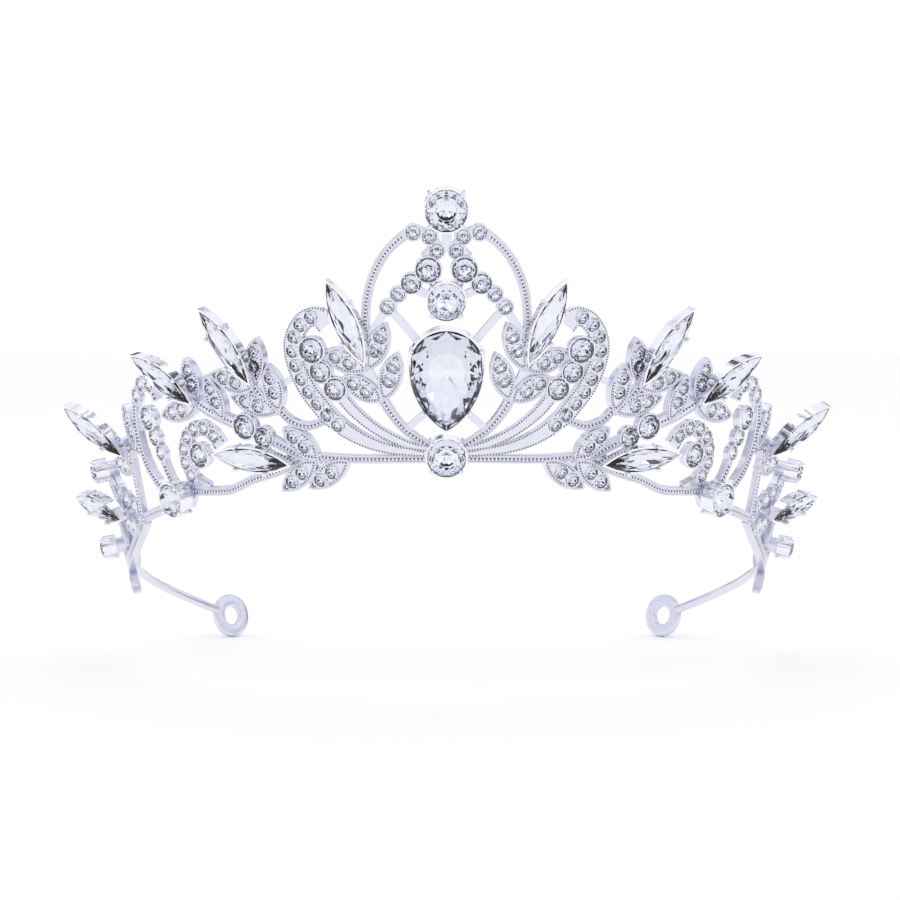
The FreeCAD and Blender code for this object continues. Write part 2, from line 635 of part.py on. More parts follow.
# the branch: main stem, second spray and the inner scroll
branch_leaves, branch_small = leaves_of(BRANCH_LEAVES[:6] + BRANCH_LEAVES[7:])
inner_stones = [(spot, pave) for spot in spaced(INNER_SCROLL, size("pave_pitch"), INNER_STONES, 2.05)]
branch_stones = branch_small + inner_stones + MAIN_STONES + [INNER_BIG]
branch = cast(
    "branch",
    branch_leaves + collars(inner_stones + MAIN_STONES + [INNER_BIG]) + [
        bar(MAIN_STEM, 2.4, 1.6),
        bar(INNER_SCROLL, 2.9, 2.4, front=0.55, back=0.6),
        bar(INNER_TIE, 1.6, front=0.4, back=0.5),
        bar(LOWER_TIE, 1.4, front=0.5, back=0.55),
        bar(LOWER_BAR, 1.6, front=0.5, back=0.55),
        bar(BRANCH_STEM, 1.6, front=0.5, back=0.55),
        bar(BRANCH_TIE, 1.3, front=0.35, back=0.5),
        bar(LOOP_BAR, 1.5, front=0.45, back=0.5),
        bar(NAVETTE_SHELF, 1.8, front=0.5, back=0.6),
        bar([(47.2, -4.6), (48.6, -6.2), (50.4, -7.0)], 3.0, front=0.5, back=0.62),
        pad(JUNCTION, 2.2, 0.5),
        navette_foot("second"),
        navette_foot("third"),
        navette_foot("lower"),
    ],
    branch_stones,
    [wing, junction_room] + rooms("second", "third", "lower"),
)

# the side scroll and its strap to the end casting
side_leaves, side_small = leaves_of(SIDE_LEAVES)
side_stones = side_small + SIDE_STONES + [(place, pave) for place in SIDE_PAVE]
side = cast(
    "side",
    side_leaves + collars(SIDE_STONES + [(place, pave) for place in SIDE_PAVE]) + [
        bar(SIDE_SCROLL, 1.6, 1.9),
        bar(SIDE_STEM, 1.8, 1.5, front=0.5, back=0.6),
        bar(SIDE_STRAP, 2.0, 1.8, front=0.55, back=0.6),
        bar(SIDE_SPUR, 1.5, front=0.5, back=0.6),
        pad(JUNCTION, 2.6, cup_rise + 0.5),
        navette_foot("fourth"),
    ],
    side_stones,
    [branch, junction_room] + rooms("third", "fourth"),
)

# the end casting, with the hollow that an arm's rounded root turns in
end_leaves, end_small = leaves_of(END_LEAVES)
end_stones = end_small + [(place, pave) for place in END_PAVE]
end_rooms = [round_envelope("end", place, rise) for place, rise in END_CUPS]
pivot = band_frame(PIVOT)[0]
hollow_height = 8.0
pivot_hollow = Part.makeCylinder(
    size("pivot_radius") + size("pivot_gap") + 0.15, hollow_height, pivot - Vector(0, 0, hollow_height / 2))
end = cast(
    "end",
    end_leaves + collars([(place, pave) for place in END_PAVE]) + [
        bar(END_RAIL, 2.0, 1.8),
        bar(END_STEM, 1.8, 1.5, front=0.5, back=0.6),
        navette_foot("end"),
    ] + [bar(strut, 1.4, front=0.45, back=0.55) for strut in END_STRUTS]
    + [pad(place, 1.5, rise) for place, rise in END_CUPS],
    end_stones,
    [side, pivot_hollow] + end_rooms + rooms("end", "fourth"),
)

# ---------------------------------------------------------------- nodes
shape_node("crest_casting", crest)
pair("wing_casting", wing)
pair("branch_casting", branch)
pair("side_casting", side)
pair("end_casting", end)

for stone, place in (("top", TOP_STONE), ("middle", MIDDLE_STONE), ("bottom", BOTTOM_STONE)):
    for thing in round_setting(stone, f"{stone}_stone_cup", f"{stone}_stone", place, cup_rise):
        node(thing, thing.Label)
for thing in round_setting("junction", "left_junction_cup", "left_junction_stone", JUNCTION, cup_rise + 0.5):
    mirror_node(node(thing, thing.Label), thing.Label.replace("left", "right"))
end_settings = [
    round_setting("end", f"end_cup_{i}", f"end_crystal_{i}", place, rise)
    for i, (place, rise) in enumerate(END_CUPS, start=1)
]
mirror_node(group_node("left_end_cups", [cup for cup, _ in end_settings]), "right_end_cups")

pear_cup, pear_stone = pear_parts()
shape_node("pear_setting", pear_cup).Placement = pear_placement
shape_node("pear_stone", pear_stone).Placement = pear_placement

for name, stand in NAVETTES.items():
    for label, shape in ((f"navette_cup_{name}", navette_setting()), (f"navette_stone_{name}", navette_crystal())):
        left = shape_node("left_" + label, shape)
        left.Placement = navette_placement(*stand)
        mirror_node(left, "right_" + label)


def stone_group(stones):
    return Part.makeCompound([round_stone(place, radius) for place, radius in stones])


crest_group = stone_group(crest_half_stones)
shape_node("crest_stones", Part.makeCompound([crest_group, mirrored_shape(crest_group)]))
pair("wing_stones", stone_group(wing_stones))
pair("branch_stones", stone_group(branch_stones))
pair("side_stones", stone_group(side_stones))
end_pave = doc.addObject("Part::Feature", "end_pave")
end_pave.Shape = stone_group(end_stones)
end_group = group_node("left_end_stones", [end_pave] + [crystal for _, crystal in end_settings])
mirror_node(end_group, "right_end_stones")

# the arms: flat wire with a rounded root, and a flat loop at the free end
loop_place = place_on_band(LOOP_CENTRE, -size("loop_thick") / 2)
loop_room = Part.makeCylinder(size("loop_outer"), size("loop_thick") + 4, Vector(0, 0, -2))
loop_room.Placement = loop_place
root = Part.makeCylinder(size("pivot_radius"), size("arm_width"), pivot - Vector(0, 0, size("arm_width") / 2))
wire = bar(ARM, size("arm_width"), front=size("arm_thick") / 2, back=size("arm_thick") / 2, steps=4)
pair("arm_wire", cast("arm", [wire, root], cutters=[loop_room]))
loop = turned_body("left_end_loop", [
    ("loop_hole", 0), ("loop_outer", 0), ("loop_outer", "loop_thick"), ("loop_hole", "loop_thick"),
], loop_place)
mirror_node(node(loop, loop.Label), "right_end_loop")

# ---------------------------------------------------------------- check and write
doc.recompute()
for thing in doc.Objects:
    if {"Invalid", "Error"} & set(thing.State):
        raise RuntimeError(f"{thing.Label} did not recompute: {thing.State}")
os.makedirs("parts", exist_ok=True)
for thing in NODES:
    if thing.Shape.isNull() or not thing.Shape.isValid():
        raise RuntimeError(f"{thing.Label} has no valid shape")
    thing.Shape.exportStep(f"parts/{thing.Label}.step")
print(len(NODES), "nodes written")
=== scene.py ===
# %% [markdown]
# # A bridal tiara, dressed over its measured frame
#
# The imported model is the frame: it holds every casting, cup, crystal, arm and loop at its real size,
# and it says which piece moves with which body. This lesson gives those pieces the look of jewellery.
# The castings and cups stay as they are measured and get a silver finish, beaded trim is laid along
# them, and every stone is replaced with one that is really cut in facets. All lengths are in metres.

# %% Load the frame
import math

import bmesh
import bpy
from mathutils import Matrix, Vector
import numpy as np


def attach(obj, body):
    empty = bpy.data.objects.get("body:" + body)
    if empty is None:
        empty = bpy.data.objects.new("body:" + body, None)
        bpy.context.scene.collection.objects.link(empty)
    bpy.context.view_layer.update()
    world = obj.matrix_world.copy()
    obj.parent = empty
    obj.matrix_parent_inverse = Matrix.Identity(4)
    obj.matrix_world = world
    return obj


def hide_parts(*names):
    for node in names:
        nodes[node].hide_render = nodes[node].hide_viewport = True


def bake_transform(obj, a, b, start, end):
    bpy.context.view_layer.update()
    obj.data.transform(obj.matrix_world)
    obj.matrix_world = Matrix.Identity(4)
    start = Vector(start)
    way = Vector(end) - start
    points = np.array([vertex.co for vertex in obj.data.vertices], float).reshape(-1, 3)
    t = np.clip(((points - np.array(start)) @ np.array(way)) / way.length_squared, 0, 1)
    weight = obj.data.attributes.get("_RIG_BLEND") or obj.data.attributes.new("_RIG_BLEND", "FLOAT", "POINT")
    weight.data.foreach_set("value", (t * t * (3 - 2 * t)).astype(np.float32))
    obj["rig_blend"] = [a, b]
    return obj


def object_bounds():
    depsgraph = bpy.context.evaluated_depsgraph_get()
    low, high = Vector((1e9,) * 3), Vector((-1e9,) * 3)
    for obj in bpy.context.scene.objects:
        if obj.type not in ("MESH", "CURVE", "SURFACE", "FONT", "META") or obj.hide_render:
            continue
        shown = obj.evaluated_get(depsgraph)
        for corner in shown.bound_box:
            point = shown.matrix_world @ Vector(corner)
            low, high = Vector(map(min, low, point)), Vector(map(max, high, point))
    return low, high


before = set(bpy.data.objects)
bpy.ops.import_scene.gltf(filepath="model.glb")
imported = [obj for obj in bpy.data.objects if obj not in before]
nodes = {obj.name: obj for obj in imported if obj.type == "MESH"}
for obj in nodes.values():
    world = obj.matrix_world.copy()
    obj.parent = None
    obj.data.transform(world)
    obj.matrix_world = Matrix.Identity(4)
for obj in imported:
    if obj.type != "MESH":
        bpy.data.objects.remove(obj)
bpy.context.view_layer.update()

# %% [markdown]
# A tiara is drawn flat and then bent round an oval, so the easiest way to say where a thing is on it is
# an angle round the head and a height. One function turns such a place into a point in space and the
# three directions there: along the band, up it, and out of it. Everything below is drawn with it for
# the wearer's left side, and mirrored by changing the sign of the angle.

# %% The bent band
MM = 0.001
HALF_WIDTH, HALF_DEPTH = 61 * MM, 56 * MM
BAND_DROP = 46 * MM
LEAN = math.radians(12)


def band(place, rise=0.0):
    """The point at (degrees, height in mm), rise mm in front of the band, and its along, up and out."""
    turn, height = math.radians(place[0]), place[1] * MM
    outward = Vector((HALF_DEPTH * math.sin(turn), -HALF_WIDTH * math.cos(turn), 0)).normalized()
    along = Vector((HALF_WIDTH * math.cos(turn), HALF_DEPTH * math.sin(turn), 0)).normalized()
    above_base = height + BAND_DROP * math.sin(turn / 2) ** 2
    point = Vector((HALF_WIDTH * math.sin(turn), -HALF_DEPTH * math.cos(turn), height))
    point += outward * math.tan(LEAN) * above_base
    up = Vector((0, 0, math.cos(LEAN))) + outward * math.sin(LEAN)
    out = outward * math.cos(LEAN) - Vector((0, 0, math.sin(LEAN)))
    return point + out * rise * MM, along, up, out


def smooth(points, steps=6):
    """A flowing line through the places, with steps pieces between neighbours."""
    first = tuple(2 * a - b for a, b in zip(points[0], points[1]))
    last = tuple(2 * a - b for a, b in zip(points[-1], points[-2]))
    padded = [first, *points, last]
    line = []
    for p0, p1, p2, p3 in zip(padded, padded[1:], padded[2:], padded[3:]):
        for step in range(steps):
            u = step / steps
            line.append(tuple(
                0.5 * (2 * b + (c - a) * u + (2 * a - 5 * b + 4 * c - d) * u ** 2
                       + (3 * b - a - 3 * c + d) * u ** 3)
                for a, b, c, d in zip(p0, p1, p2, p3)))
    return line + [tuple(points[-1])]


def mirrored(place, side):
    """A place on the wearer's left, or its twin on the right when side is -1."""
    return (place[0] * side, place[1])


SIDES = ((1, "left"), (-1, "right"))


front = band((0, 0))
print("the band's front:", tuple(round(v, 4) for v in front[0]))

# %% [markdown]
# ## Finishes
# Tiaras of this kind are cast in soft white metal and plated with bright silver. Plate is a mirror, but
# never a perfect one: polishing leaves the surface slightly uneven, and the recesses stay a little
# duller. Two noises do that here, one for roughness and one for a very shallow bump. Both read Object
# coordinates, so the finish stays on the piece when it is moved.

# %% Silver plate
def new_material(name):
    material = bpy.data.materials.new(name)
    material.use_nodes = True
    tree = material.node_tree
    return material, tree, tree.nodes["Principled BSDF"]


def silver_plate(name, colour, low, high):
    """Polished plate whose roughness wanders between low and high."""
    material, tree, surface = new_material(name)
    surface.inputs["Base Color"].default_value = (*colour, 1)
    surface.inputs["Metallic"].default_value = 1.0
    place = tree.nodes.new("ShaderNodeTexCoord")
    wander = tree.nodes.new("ShaderNodeTexNoise")
    wander.inputs["Scale"].default_value = 420
    wander.inputs["Detail"].default_value = 3
    spread = tree.nodes.new("ShaderNodeMapRange")
    spread.inputs["To Min"].default_value = low
    spread.inputs["To Max"].default_value = high
    dents = tree.nodes.new("ShaderNodeTexNoise")
    dents.inputs["Scale"].default_value = 1500
    bump = tree.nodes.new("ShaderNodeBump")
    bump.inputs["Strength"].default_value = 0.3
    bump.inputs["Distance"].default_value = 0.00008
    link = tree.links.new
    link(place.outputs["Object"], wander.inputs["Vector"])
    link(place.outputs["Object"], dents.inputs["Vector"])
    link(wander.outputs["Fac"], spread.inputs["Value"])
    link(spread.outputs["Result"], surface.inputs["Roughness"])
    link(dents.outputs["Fac"], bump.inputs["Height"])
    link(bump.outputs["Normal"], surface.inputs["Normal"])
    return material


casting_silver = silver_plate("casting_silver", (0.77, 0.77, 0.87), 0.16, 0.34)
bright_silver = silver_plate("bright_silver", (0.90, 0.90, 0.95), 0.06, 0.16)
# a dark silver that is painted shade: it darkens the gaps under the bead rows and the rings round the chips,
# where shade falls between parts
painted_shade_silver = silver_plate("painted_recess_shade", (0.20, 0.20, 0.24), 0.35, 0.6)
print("finishes:", casting_silver.name, bright_silver.name, painted_shade_silver.name)

# %% [markdown]
# A rhinestone is clear glass with a mirror foil on its lower facets. Light goes in through the crown,
# bounces off the foil and comes out again, which is what makes it sparkle. So a stone here has two
# finishes: glass on the crown and a foil on the facets below the girdle. Facets have to stay flat, so
# nothing is shaded smooth.

# %% Crystal and foil
crystal, _, surface = new_material("clear_crystal")
surface.inputs["Base Color"].default_value = (0.97, 0.975, 1.0, 1)
surface.inputs["Roughness"].default_value = 0.01
surface.inputs["IOR"].default_value = 1.5
surface.inputs["Transmission Weight"].default_value = 1.0

foil, foil_tree, surface = new_material("mirror_foil")
surface.inputs["Metallic"].default_value = 1.0
surface.inputs["Roughness"].default_value = 0.03
foil_place = foil_tree.nodes.new("ShaderNodeTexCoord")
foil_noise = foil_tree.nodes.new("ShaderNodeTexNoise")
foil_noise.inputs["Scale"].default_value = 900
foil_ramp = foil_tree.nodes.new("ShaderNodeValToRGB")
foil_ramp.color_ramp.elements[0].color = (0.80, 0.81, 0.88, 1)
foil_ramp.color_ramp.elements[1].color = (0.95, 0.95, 0.99, 1)
foil_tree.links.new(foil_place.outputs["Object"], foil_noise.inputs["Vector"])
foil_tree.links.new(foil_noise.outputs["Fac"], foil_ramp.inputs["Fac"])
foil_tree.links.new(foil_ramp.outputs["Color"], surface.inputs["Base Color"])
print("finishes:", crystal.name, foil.name)

# %% [markdown]
# The measured castings, cups and settings are already the right shape, so they are kept, and only their
# finish changes. The stones, arms and loops are replaced further down.

# %% Finish the measured pieces
for name, thing in nodes.items():
    finish = bright_silver if "cup" in name or name == "pear_setting" else casting_silver
    for index in range(len(thing.data.materials)):
        thing.data.materials[index] = finish
print("silver on", len(nodes), "measured pieces")


# %% Small helpers for new pieces
def add_piece(name, mesh, body="band", replaced=()):
    """Puts a finished mesh in the scene on its body."""
    thing = bpy.data.objects.new(name, mesh)
    bpy.context.scene.collection.objects.link(thing)
    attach(thing, body)
    if replaced:
        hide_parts(*replaced)
    return thing


def mesh_of(name, points, faces, materials, material_of_face=None, is_smooth=False):
    """A closed mesh with outward faces from points and faces."""
    mesh = bpy.data.meshes.new(name)
    mesh.from_pydata([tuple(p) for p in points], [], faces)
    for material in materials:
        mesh.materials.append(material)
    if material_of_face:
        mesh.polygons.foreach_set("material_index", material_of_face)
    work = bmesh.new()
    work.from_mesh(mesh)
    bmesh.ops.recalc_face_normals(work, faces=work.faces)
    work.to_mesh(mesh)
    work.free()
    mesh.polygons.foreach_set("use_smooth", [is_smooth] * len(mesh.polygons))
    return mesh


# %% [markdown]
# ## Cutting a stone
# Round, boat-shaped and pear-shaped stones are all cut the same way: a flat table on top, a ring of
# crown facets down to the girdle, and a ring of long facets below it that meet at a point or a keel. If
# the outline is a list of points round the girdle, every other ring is that outline drawn in and turned
# by half a step, and neighbouring rings are joined with triangles. One function then cuts any stone.

# %% Cut any outline into a stone
def outline_point(outline, share):
    """A point a share of the way round a closed outline."""
    spot = share % 1.0 * len(outline)
    index = int(spot)
    a, b = outline[index % len(outline)], outline[(index + 1) % len(outline)]
    return a + (b - a) * (spot - index)


def cut_stone(outline, centre, facets, table, depth, crown, girdle):
    """Points, faces and material indices of a stone whose girdle's lower edge is on Z = 0."""
    rings = [
        (table, crown, 0.0), ((1 + table) / 2 + 0.04, crown * 0.62, 0.5), (1.0, girdle, 0.0),
        (1.0, 0.0, 0.0), (0.5, -depth * 0.62, 0.5), (0.1, -depth, 0.0),
    ]
    points, faces, material = [], [], []
    for scale, height, offset in rings:
        for i in range(facets):
            edge = outline_point(outline, (i + offset) / facets)
            flat = centre + (edge - centre) * scale
            points.append(Vector((flat.x, flat.y, height)))
    faces.append(list(range(facets)))
    material.append(0)
    for ring in range(len(rings) - 1):
        upper, lower = ring * facets, (ring + 1) * facets
        side = 0 if ring < 3 else 1
        for i in range(facets):
            k = (i + 1) % facets
            if ring == 2:
                faces.append([upper + i, upper + k, lower + k, lower + i])
                material.append(side)
                continue
            turned = rings[ring + 1][2] > rings[ring][2]
            first = [upper + i, upper + k, lower + i] if turned else [upper + i, lower + i, lower + k]
            second = [upper + k, lower + k, lower + i] if turned else [upper + i, lower + k, upper + k]
            faces += [first, second]
            material += [side, side]
    faces.append(list(range((len(rings) - 1) * facets, len(rings) * facets)))
    material.append(1)
    return points, faces, material


def round_outline(radius, count=96):
    turns = [2 * math.pi * i / count for i in range(count)]
    return [Vector((radius * math.cos(a), radius * math.sin(a))) for a in turns]


test = cut_stone(round_outline(1), Vector((0, 0)), 8, 0.52, 0.6, 0.42, 0.08)
print("a round stone has", len(test[1]), "facets")

# %% [markdown]
# ## Laying repeated pieces with Geometry Nodes
# Beads, chips, seat rings and claws are each one small shape repeated many times. Geometry Nodes
# instance such a shape on a cloud of points: each point carries its outward direction and its size, and
# the tree turns and scales the shape to suit. The tree ends by making the instances real and giving
# them their finish, and the result is turned into a plain mesh.

# %% A tree that sets a shape on points
def socket(tree, name, kind, default=None):
    item = tree.interface.new_socket(name, in_out="INPUT", socket_type=kind)
    if default is not None:
        item.default_value = default
    return item


def build_setting_tree():
    tree = bpy.data.node_groups.new("set shapes on points", "GeometryNodeTree")
    socket(tree, "Points", "NodeSocketGeometry")
    socket(tree, "Shape", "NodeSocketObject")
    socket(tree, "Finish", "NodeSocketMaterial")
    socket(tree, "Keep finishes", "NodeSocketBool", False)
    tree.interface.new_socket("Geometry", in_out="OUTPUT", socket_type="NodeSocketGeometry")
    add, link = tree.nodes.new, tree.links.new
    inputs, output = add("NodeGroupInput"), add("NodeGroupOutput")
    shape = add("GeometryNodeObjectInfo")
    out = add("GeometryNodeInputNamedAttribute")
    out.data_type = "FLOAT_VECTOR"
    out.inputs["Name"].default_value = "out"
    size = add("GeometryNodeInputNamedAttribute")
    size.data_type = "FLOAT"
    size.inputs["Name"].default_value = "size"
    turn = add("FunctionNodeAlignRotationToVector")
    turn.axis = "Z"
    to_points = add("GeometryNodeMeshToPoints")
    place = add("GeometryNodeInstanceOnPoints")
    real = add("GeometryNodeRealizeInstances")
    paint = add("GeometryNodeSetMaterial")
    choose = add("GeometryNodeSwitch")
    choose.input_type = "GEOMETRY"
    link(inputs.outputs["Points"], to_points.inputs["Mesh"])
    link(to_points.outputs["Points"], place.inputs["Points"])
    link(inputs.outputs["Shape"], shape.inputs["Object"])
    link(shape.outputs["Geometry"], place.inputs["Instance"])
    link(out.outputs["Attribute"], turn.inputs["Vector"])
    link(turn.outputs["Rotation"], place.inputs["Rotation"])
    link(size.outputs["Attribute"], place.inputs["Scale"])
    link(place.outputs["Instances"], real.inputs["Geometry"])
    link(real.outputs["Geometry"], paint.inputs["Geometry"])
    link(inputs.outputs["Finish"], paint.inputs["Material"])
    link(inputs.outputs["Keep finishes"], choose.inputs["Switch"])
    link(paint.outputs["Geometry"], choose.inputs["False"])
    link(real.outputs["Geometry"], choose.inputs["True"])
    link(choose.outputs["Output"], output.inputs["Geometry"])
    return tree


setting_tree = build_setting_tree()
print("tree:", setting_tree.name, "with", len(setting_tree.nodes), "nodes")


# %% Run a tree and keep its mesh
def run_tree(tree, source, name, settings):
    """Evaluates tree on the source mesh with these named inputs and returns a plain mesh."""
    carrier = bpy.data.objects.new(name + "_source", source)
    bpy.context.scene.collection.objects.link(carrier)
    modifier = carrier.modifiers.new("nodes", "NODES")
    modifier.node_group = tree
    identifiers = {item.name: item.identifier
                   for item in tree.interface.items_tree if item.in_out == "INPUT"}
    for label, value in settings.items():
        modifier[identifiers[label]] = value
    bpy.context.view_layer.update()
    evaluated = carrier.evaluated_get(bpy.context.evaluated_depsgraph_get())
    mesh = bpy.data.meshes.new_from_object(evaluated)
    mesh.name = name
    for extra in [a.name for a in mesh.attributes if a.name in ("out", "size")]:
        mesh.attributes.remove(mesh.attributes[extra])
    bpy.data.objects.remove(carrier)
    return mesh


def point_cloud(name, spots):
    """A mesh of loose points from (point, out, size) spots, with out and size as attributes."""
    mesh = bpy.data.meshes.new(name)
    mesh.from_pydata([tuple(spot[0]) for spot in spots], [], [])
    out = mesh.attributes.new("out", "FLOAT_VECTOR", "POINT")
    out.data.foreach_set("vector", [c for spot in spots for c in spot[1]])
    size = mesh.attributes.new("size", "FLOAT", "POINT")
    size.data.foreach_set("value", [spot[2] for spot in spots])
    return mesh


def keep_shape(name, mesh):
    """A prototype for instances, kept out of the scene."""
    return bpy.data.objects.new(name, mesh)


def set_shapes(name, spots, shape, finish, own_finishes=False):
    """The shape set on every spot, as one plain mesh."""
    settings = {"Shape": shape, "Finish": finish, "Keep finishes": own_finishes}
    return run_tree(setting_tree, point_cloud(name + "_points", spots), name, settings)


print("a spot is a point, an outward direction and a size")

# %% [markdown]
# ## Where the metal runs
# The trim follows the same lines as the castings under it, so those lines are written once here, for
# the wearer's left side, with the width and the front height of the bar they lie on.

# %% The lines of the castings
ARCH = [(3.1, 35.6), (1.6, 37.7), (2.8, 39.6), (4.8, 40.0), (6.8, 38.7), (9.0, 36.0),
        (10.8, 32.3), (11.8, 28.4), (12.2, 24.0), (12.2, 17.5)]
SCROLL = [(18.2, 24.0), (19.4, 25.5), (21.3, 25.2), (23.0, 23.2), (23.9, 20.6), (23.8, 18.0), (23.2, 15.6),
          (22.0, 12.8), (20.3, 10.2), (18.0, 7.3), (14.0, 4.4), (9.2, 2.6), (3.0, 1.8)]
STEM_A = [(9.9, 11.0), (8.6, 8.6), (6.4, 5.8), (3.0, 3.2)]
STEM_B = [(20.9, 20.6), (20.2, 17.8), (19.2, 15.6), (17.4, 13.0), (14.8, 9.2),
          (11.0, 5.8), (6.5, 3.4), (3.0, 2.4)]
BASE_BAR = [(3.0, 0.9), (9.0, 0.8), (15.6, 0.7), (20.8, 1.0)]
MAIN_STEM = [(43.2, 10.2), (40.0, 8.4), (36.8, 7.0), (33.8, 6.0), (30.7, 4.5), (27.4, 2.8),
             (24.2, 1.2), (20.6, 0.8)]
INNER_SCROLL = [(39.7, 2.6), (41.2, 4.8), (43.5, 5.7), (45.9, 4.8), (47.7, 2.7), (48.4, -0.2), (47.6, -2.8),
                (46.0, -4.4), (43.6, -5.4)]
LOWER_BAR = [(27.0, -1.0), (30.0, -2.2), (34.0, -3.4), (38.8, -5.4), (43.8, -5.8), (47.5, -5.9)]
BRANCH_STEM = [(31.5, 13.2), (29.6, 10.6), (27.3, 8.8)]
LOOP_BAR = [(27.2, 9.0), (25.4, 7.2), (22.6, 6.4), (19.2, 7.6)]
SIDE_SCROLL = [(53.2, 10.4), (54.2, 13.0), (56.4, 13.6), (58.9, 11.4), (60.7, 7.0), (60.8, 2.0),
               (59.0, -3.0), (55.2, -6.6), (51.4, -7.6)]
SIDE_STEM = [(56.2, 8.6), (55.8, 5.0), (54.9, 0.8), (53.4, -3.6), (51.2, -6.6)]
SIDE_STRAP = [(50.8, -7.4), (56.0, -9.4), (61.0, -10.8), (66.2, -12.2)]
SIDE_SPUR = [(60.6, 0.6), (64.8, 1.2), (65.6, -3.6), (65.8, -11.0)]
END_RAIL = [(65.2, -12.2), (70.0, -15.6), (76.0, -18.8), (83.0, -21.6), (91.0, -24.0), (99.6, -25.4)]
END_STEM = [(66.2, -11.6), (68.4, -9.9), (71.6, -8.8), (75.4, -7.6), (78.4, -4.6)]

# each bar: its line, widths in mm at its two ends, front height, where its taper starts, and its trim
BARS = {
    "crest": [(ARCH, 2.1, 1.3, 0.6, 0.0, "milgrain")],
    "wing": [(SCROLL, 3.4, 1.2, 0.68, 0.7, "edges"), (STEM_A, 1.8, 1.4, 0.5, 0.0, "milgrain"),
             (STEM_B, 3.0, 1.3, 0.55, 0.0, "edges"), (BASE_BAR, 1.5, 1.5, 0.45, 0.0, "milgrain")],
    "branch": [(MAIN_STEM, 2.4, 1.6, 0.6, 0.0, "milgrain"), (INNER_SCROLL, 2.9, 2.4, 0.55, 0.0, "edges"),
               (LOWER_BAR, 1.6, 1.6, 0.5, 0.0, "milgrain"), (BRANCH_STEM, 1.6, 1.6, 0.5, 0.0, "milgrain"),
               (LOOP_BAR, 1.5, 1.5, 0.45, 0.0, "milgrain")],
    "side": [(SIDE_SCROLL, 1.6, 1.9, 0.6, 0.0, "milgrain"), (SIDE_STEM, 1.8, 1.5, 0.5, 0.0, "milgrain"),
             (SIDE_STRAP, 2.0, 1.8, 0.55, 0.0, "milgrain"), (SIDE_SPUR, 1.5, 1.5, 0.5, 0.0, "milgrain")],
    "end": [(END_RAIL, 2.0, 1.8, 0.6, 0.0, "milgrain"), (END_STEM, 1.8, 1.5, 0.5, 0.0, "milgrain")],
}
LEAVES = {
    "crest": [],
    "wing": [((12.1, 16.2), (9.0, 24.6)), ((12.1, 16.2), (19.0, 19.7)), ((9.9, 10.9), (7.4, 19.5)),
             ((9.9, 10.9), (16.2, 15.3)), ((15.8, 0.6), (23.4, -4.6))],
    "branch": [((31.7, 13.2), (30.0, 22.0)), ((31.4, 12.8), (39.6, 15.6)), ((27.3, 8.8), (28.6, 17.3)),
               ((27.3, 8.7), (36.2, 11.6)), ((21.0, 0.6), (27.0, 6.2)), ((21.4, 0.6), (28.4, -5.2)),
               ((43.2, 10.2), (44.4, 18.2)), ((38.0, 7.0), (40.7, 15.2)), ((43.1, 9.6), (52.4, 7.6))],
    "side": [((62.2, 1.0), (64.0, 9.4)), ((64.8, -2.6), (73.8, -1.8))],
    "end": [((67.4, -14.4), (76.6, -13.0)), ((79.2, -17.6), (86.4, -12.2)), ((90.6, -23.4), (94.6, -15.8)),
            ((92.4, -24.0), (84.6, -27.6)), ((94.2, -24.2), (100.6, -18.6)), ((77.4, -10.0), (85.4, -5.6))],
}
NAVETTES = {
    "first": ((12.2, 18.2), (17.4, 32.6), 1.0, 1.0),
    "second": ((31.0, 14.6), (38.4, 27.6), 1.0, 1.2),
    "third": ((42.8, 10.8), (53.6, 18.8), 1.0, 1.6),
    "fourth": ((64.6, 1.0), (72.1, 9.0), 1.2, 5.5),
    "lower": ((25.4, 0.2), (40.6, 1.8), 1.5, 1.5),
    "end": ((71.0, -11.8), (82.5, -7.6), 1.3, 5.5),
}
print("lines a side:", sum(map(len, BARS.values())), "bars,", sum(map(len, LEAVES.values())), "leaves")

# %% [markdown]
# ## The small round stones
# Each casting's chips are one measured piece made of separate solids. Merging a copy's loose triangles
# and walking its islands gives every chip's centre, direction and radius, so the cut stones land in
# their seats.

# %% Find every chip
def islands(thing):
    """The vertex positions of each separate solid of a measured piece."""
    work = bmesh.new()
    work.from_mesh(thing.data)
    bmesh.ops.remove_doubles(work, verts=work.verts, dist=2e-6)
    left = set(work.verts)
    found = []
    while left:
        queue, group = [left.pop()], []
        while queue:
            vertex = queue.pop()
            group.append(vertex.co.copy())
            for edge in vertex.link_edges:
                other = edge.other_vert(vertex)
                if other in left:
                    left.remove(other)
                    queue.append(other)
        found.append(group)
    work.free()
    return found


def outward_at(point):
    """The band's outward direction near a point."""
    outward = Vector((point.x / HALF_WIDTH ** 2, point.y / HALF_DEPTH ** 2, 0)).normalized()
    return outward * math.cos(LEAN) - Vector((0, 0, math.sin(LEAN)))


CHIP_DEPTH, CHIP_CROWN = 0.6, 0.42
TALLEST_CHIP = 1.2
chips = {}
for region in ("crest", "left_wing", "right_wing", "left_branch", "right_branch", "left_side", "right_side",
               "left_end", "right_end"):
    chips[region] = []
    for solid in islands(nodes[region + "_stones"]):
        middle = sum(solid, Vector()) / len(solid)
        out = outward_at(middle)
        heights = [(v - middle).dot(out) for v in solid]
        radius = max(((v - middle) - out * (v - middle).dot(out)).length for v in solid)
        if max(heights) - min(heights) < TALLEST_CHIP * radius:
            chips[region].append((middle + out * (min(heights) + CHIP_DEPTH * radius), out, radius))
print("chips:", {region: len(found) for region, found in chips.items()})

# %% Cut a chip, its seat ring and a prong
points, faces, finishes = cut_stone(round_outline(1), Vector((0, 0)), 8, 0.56, CHIP_DEPTH, CHIP_CROWN, 0.08)
chip_shape = keep_shape("chip_shape", mesh_of("chip_shape", points, faces, [crystal, foil], finishes))


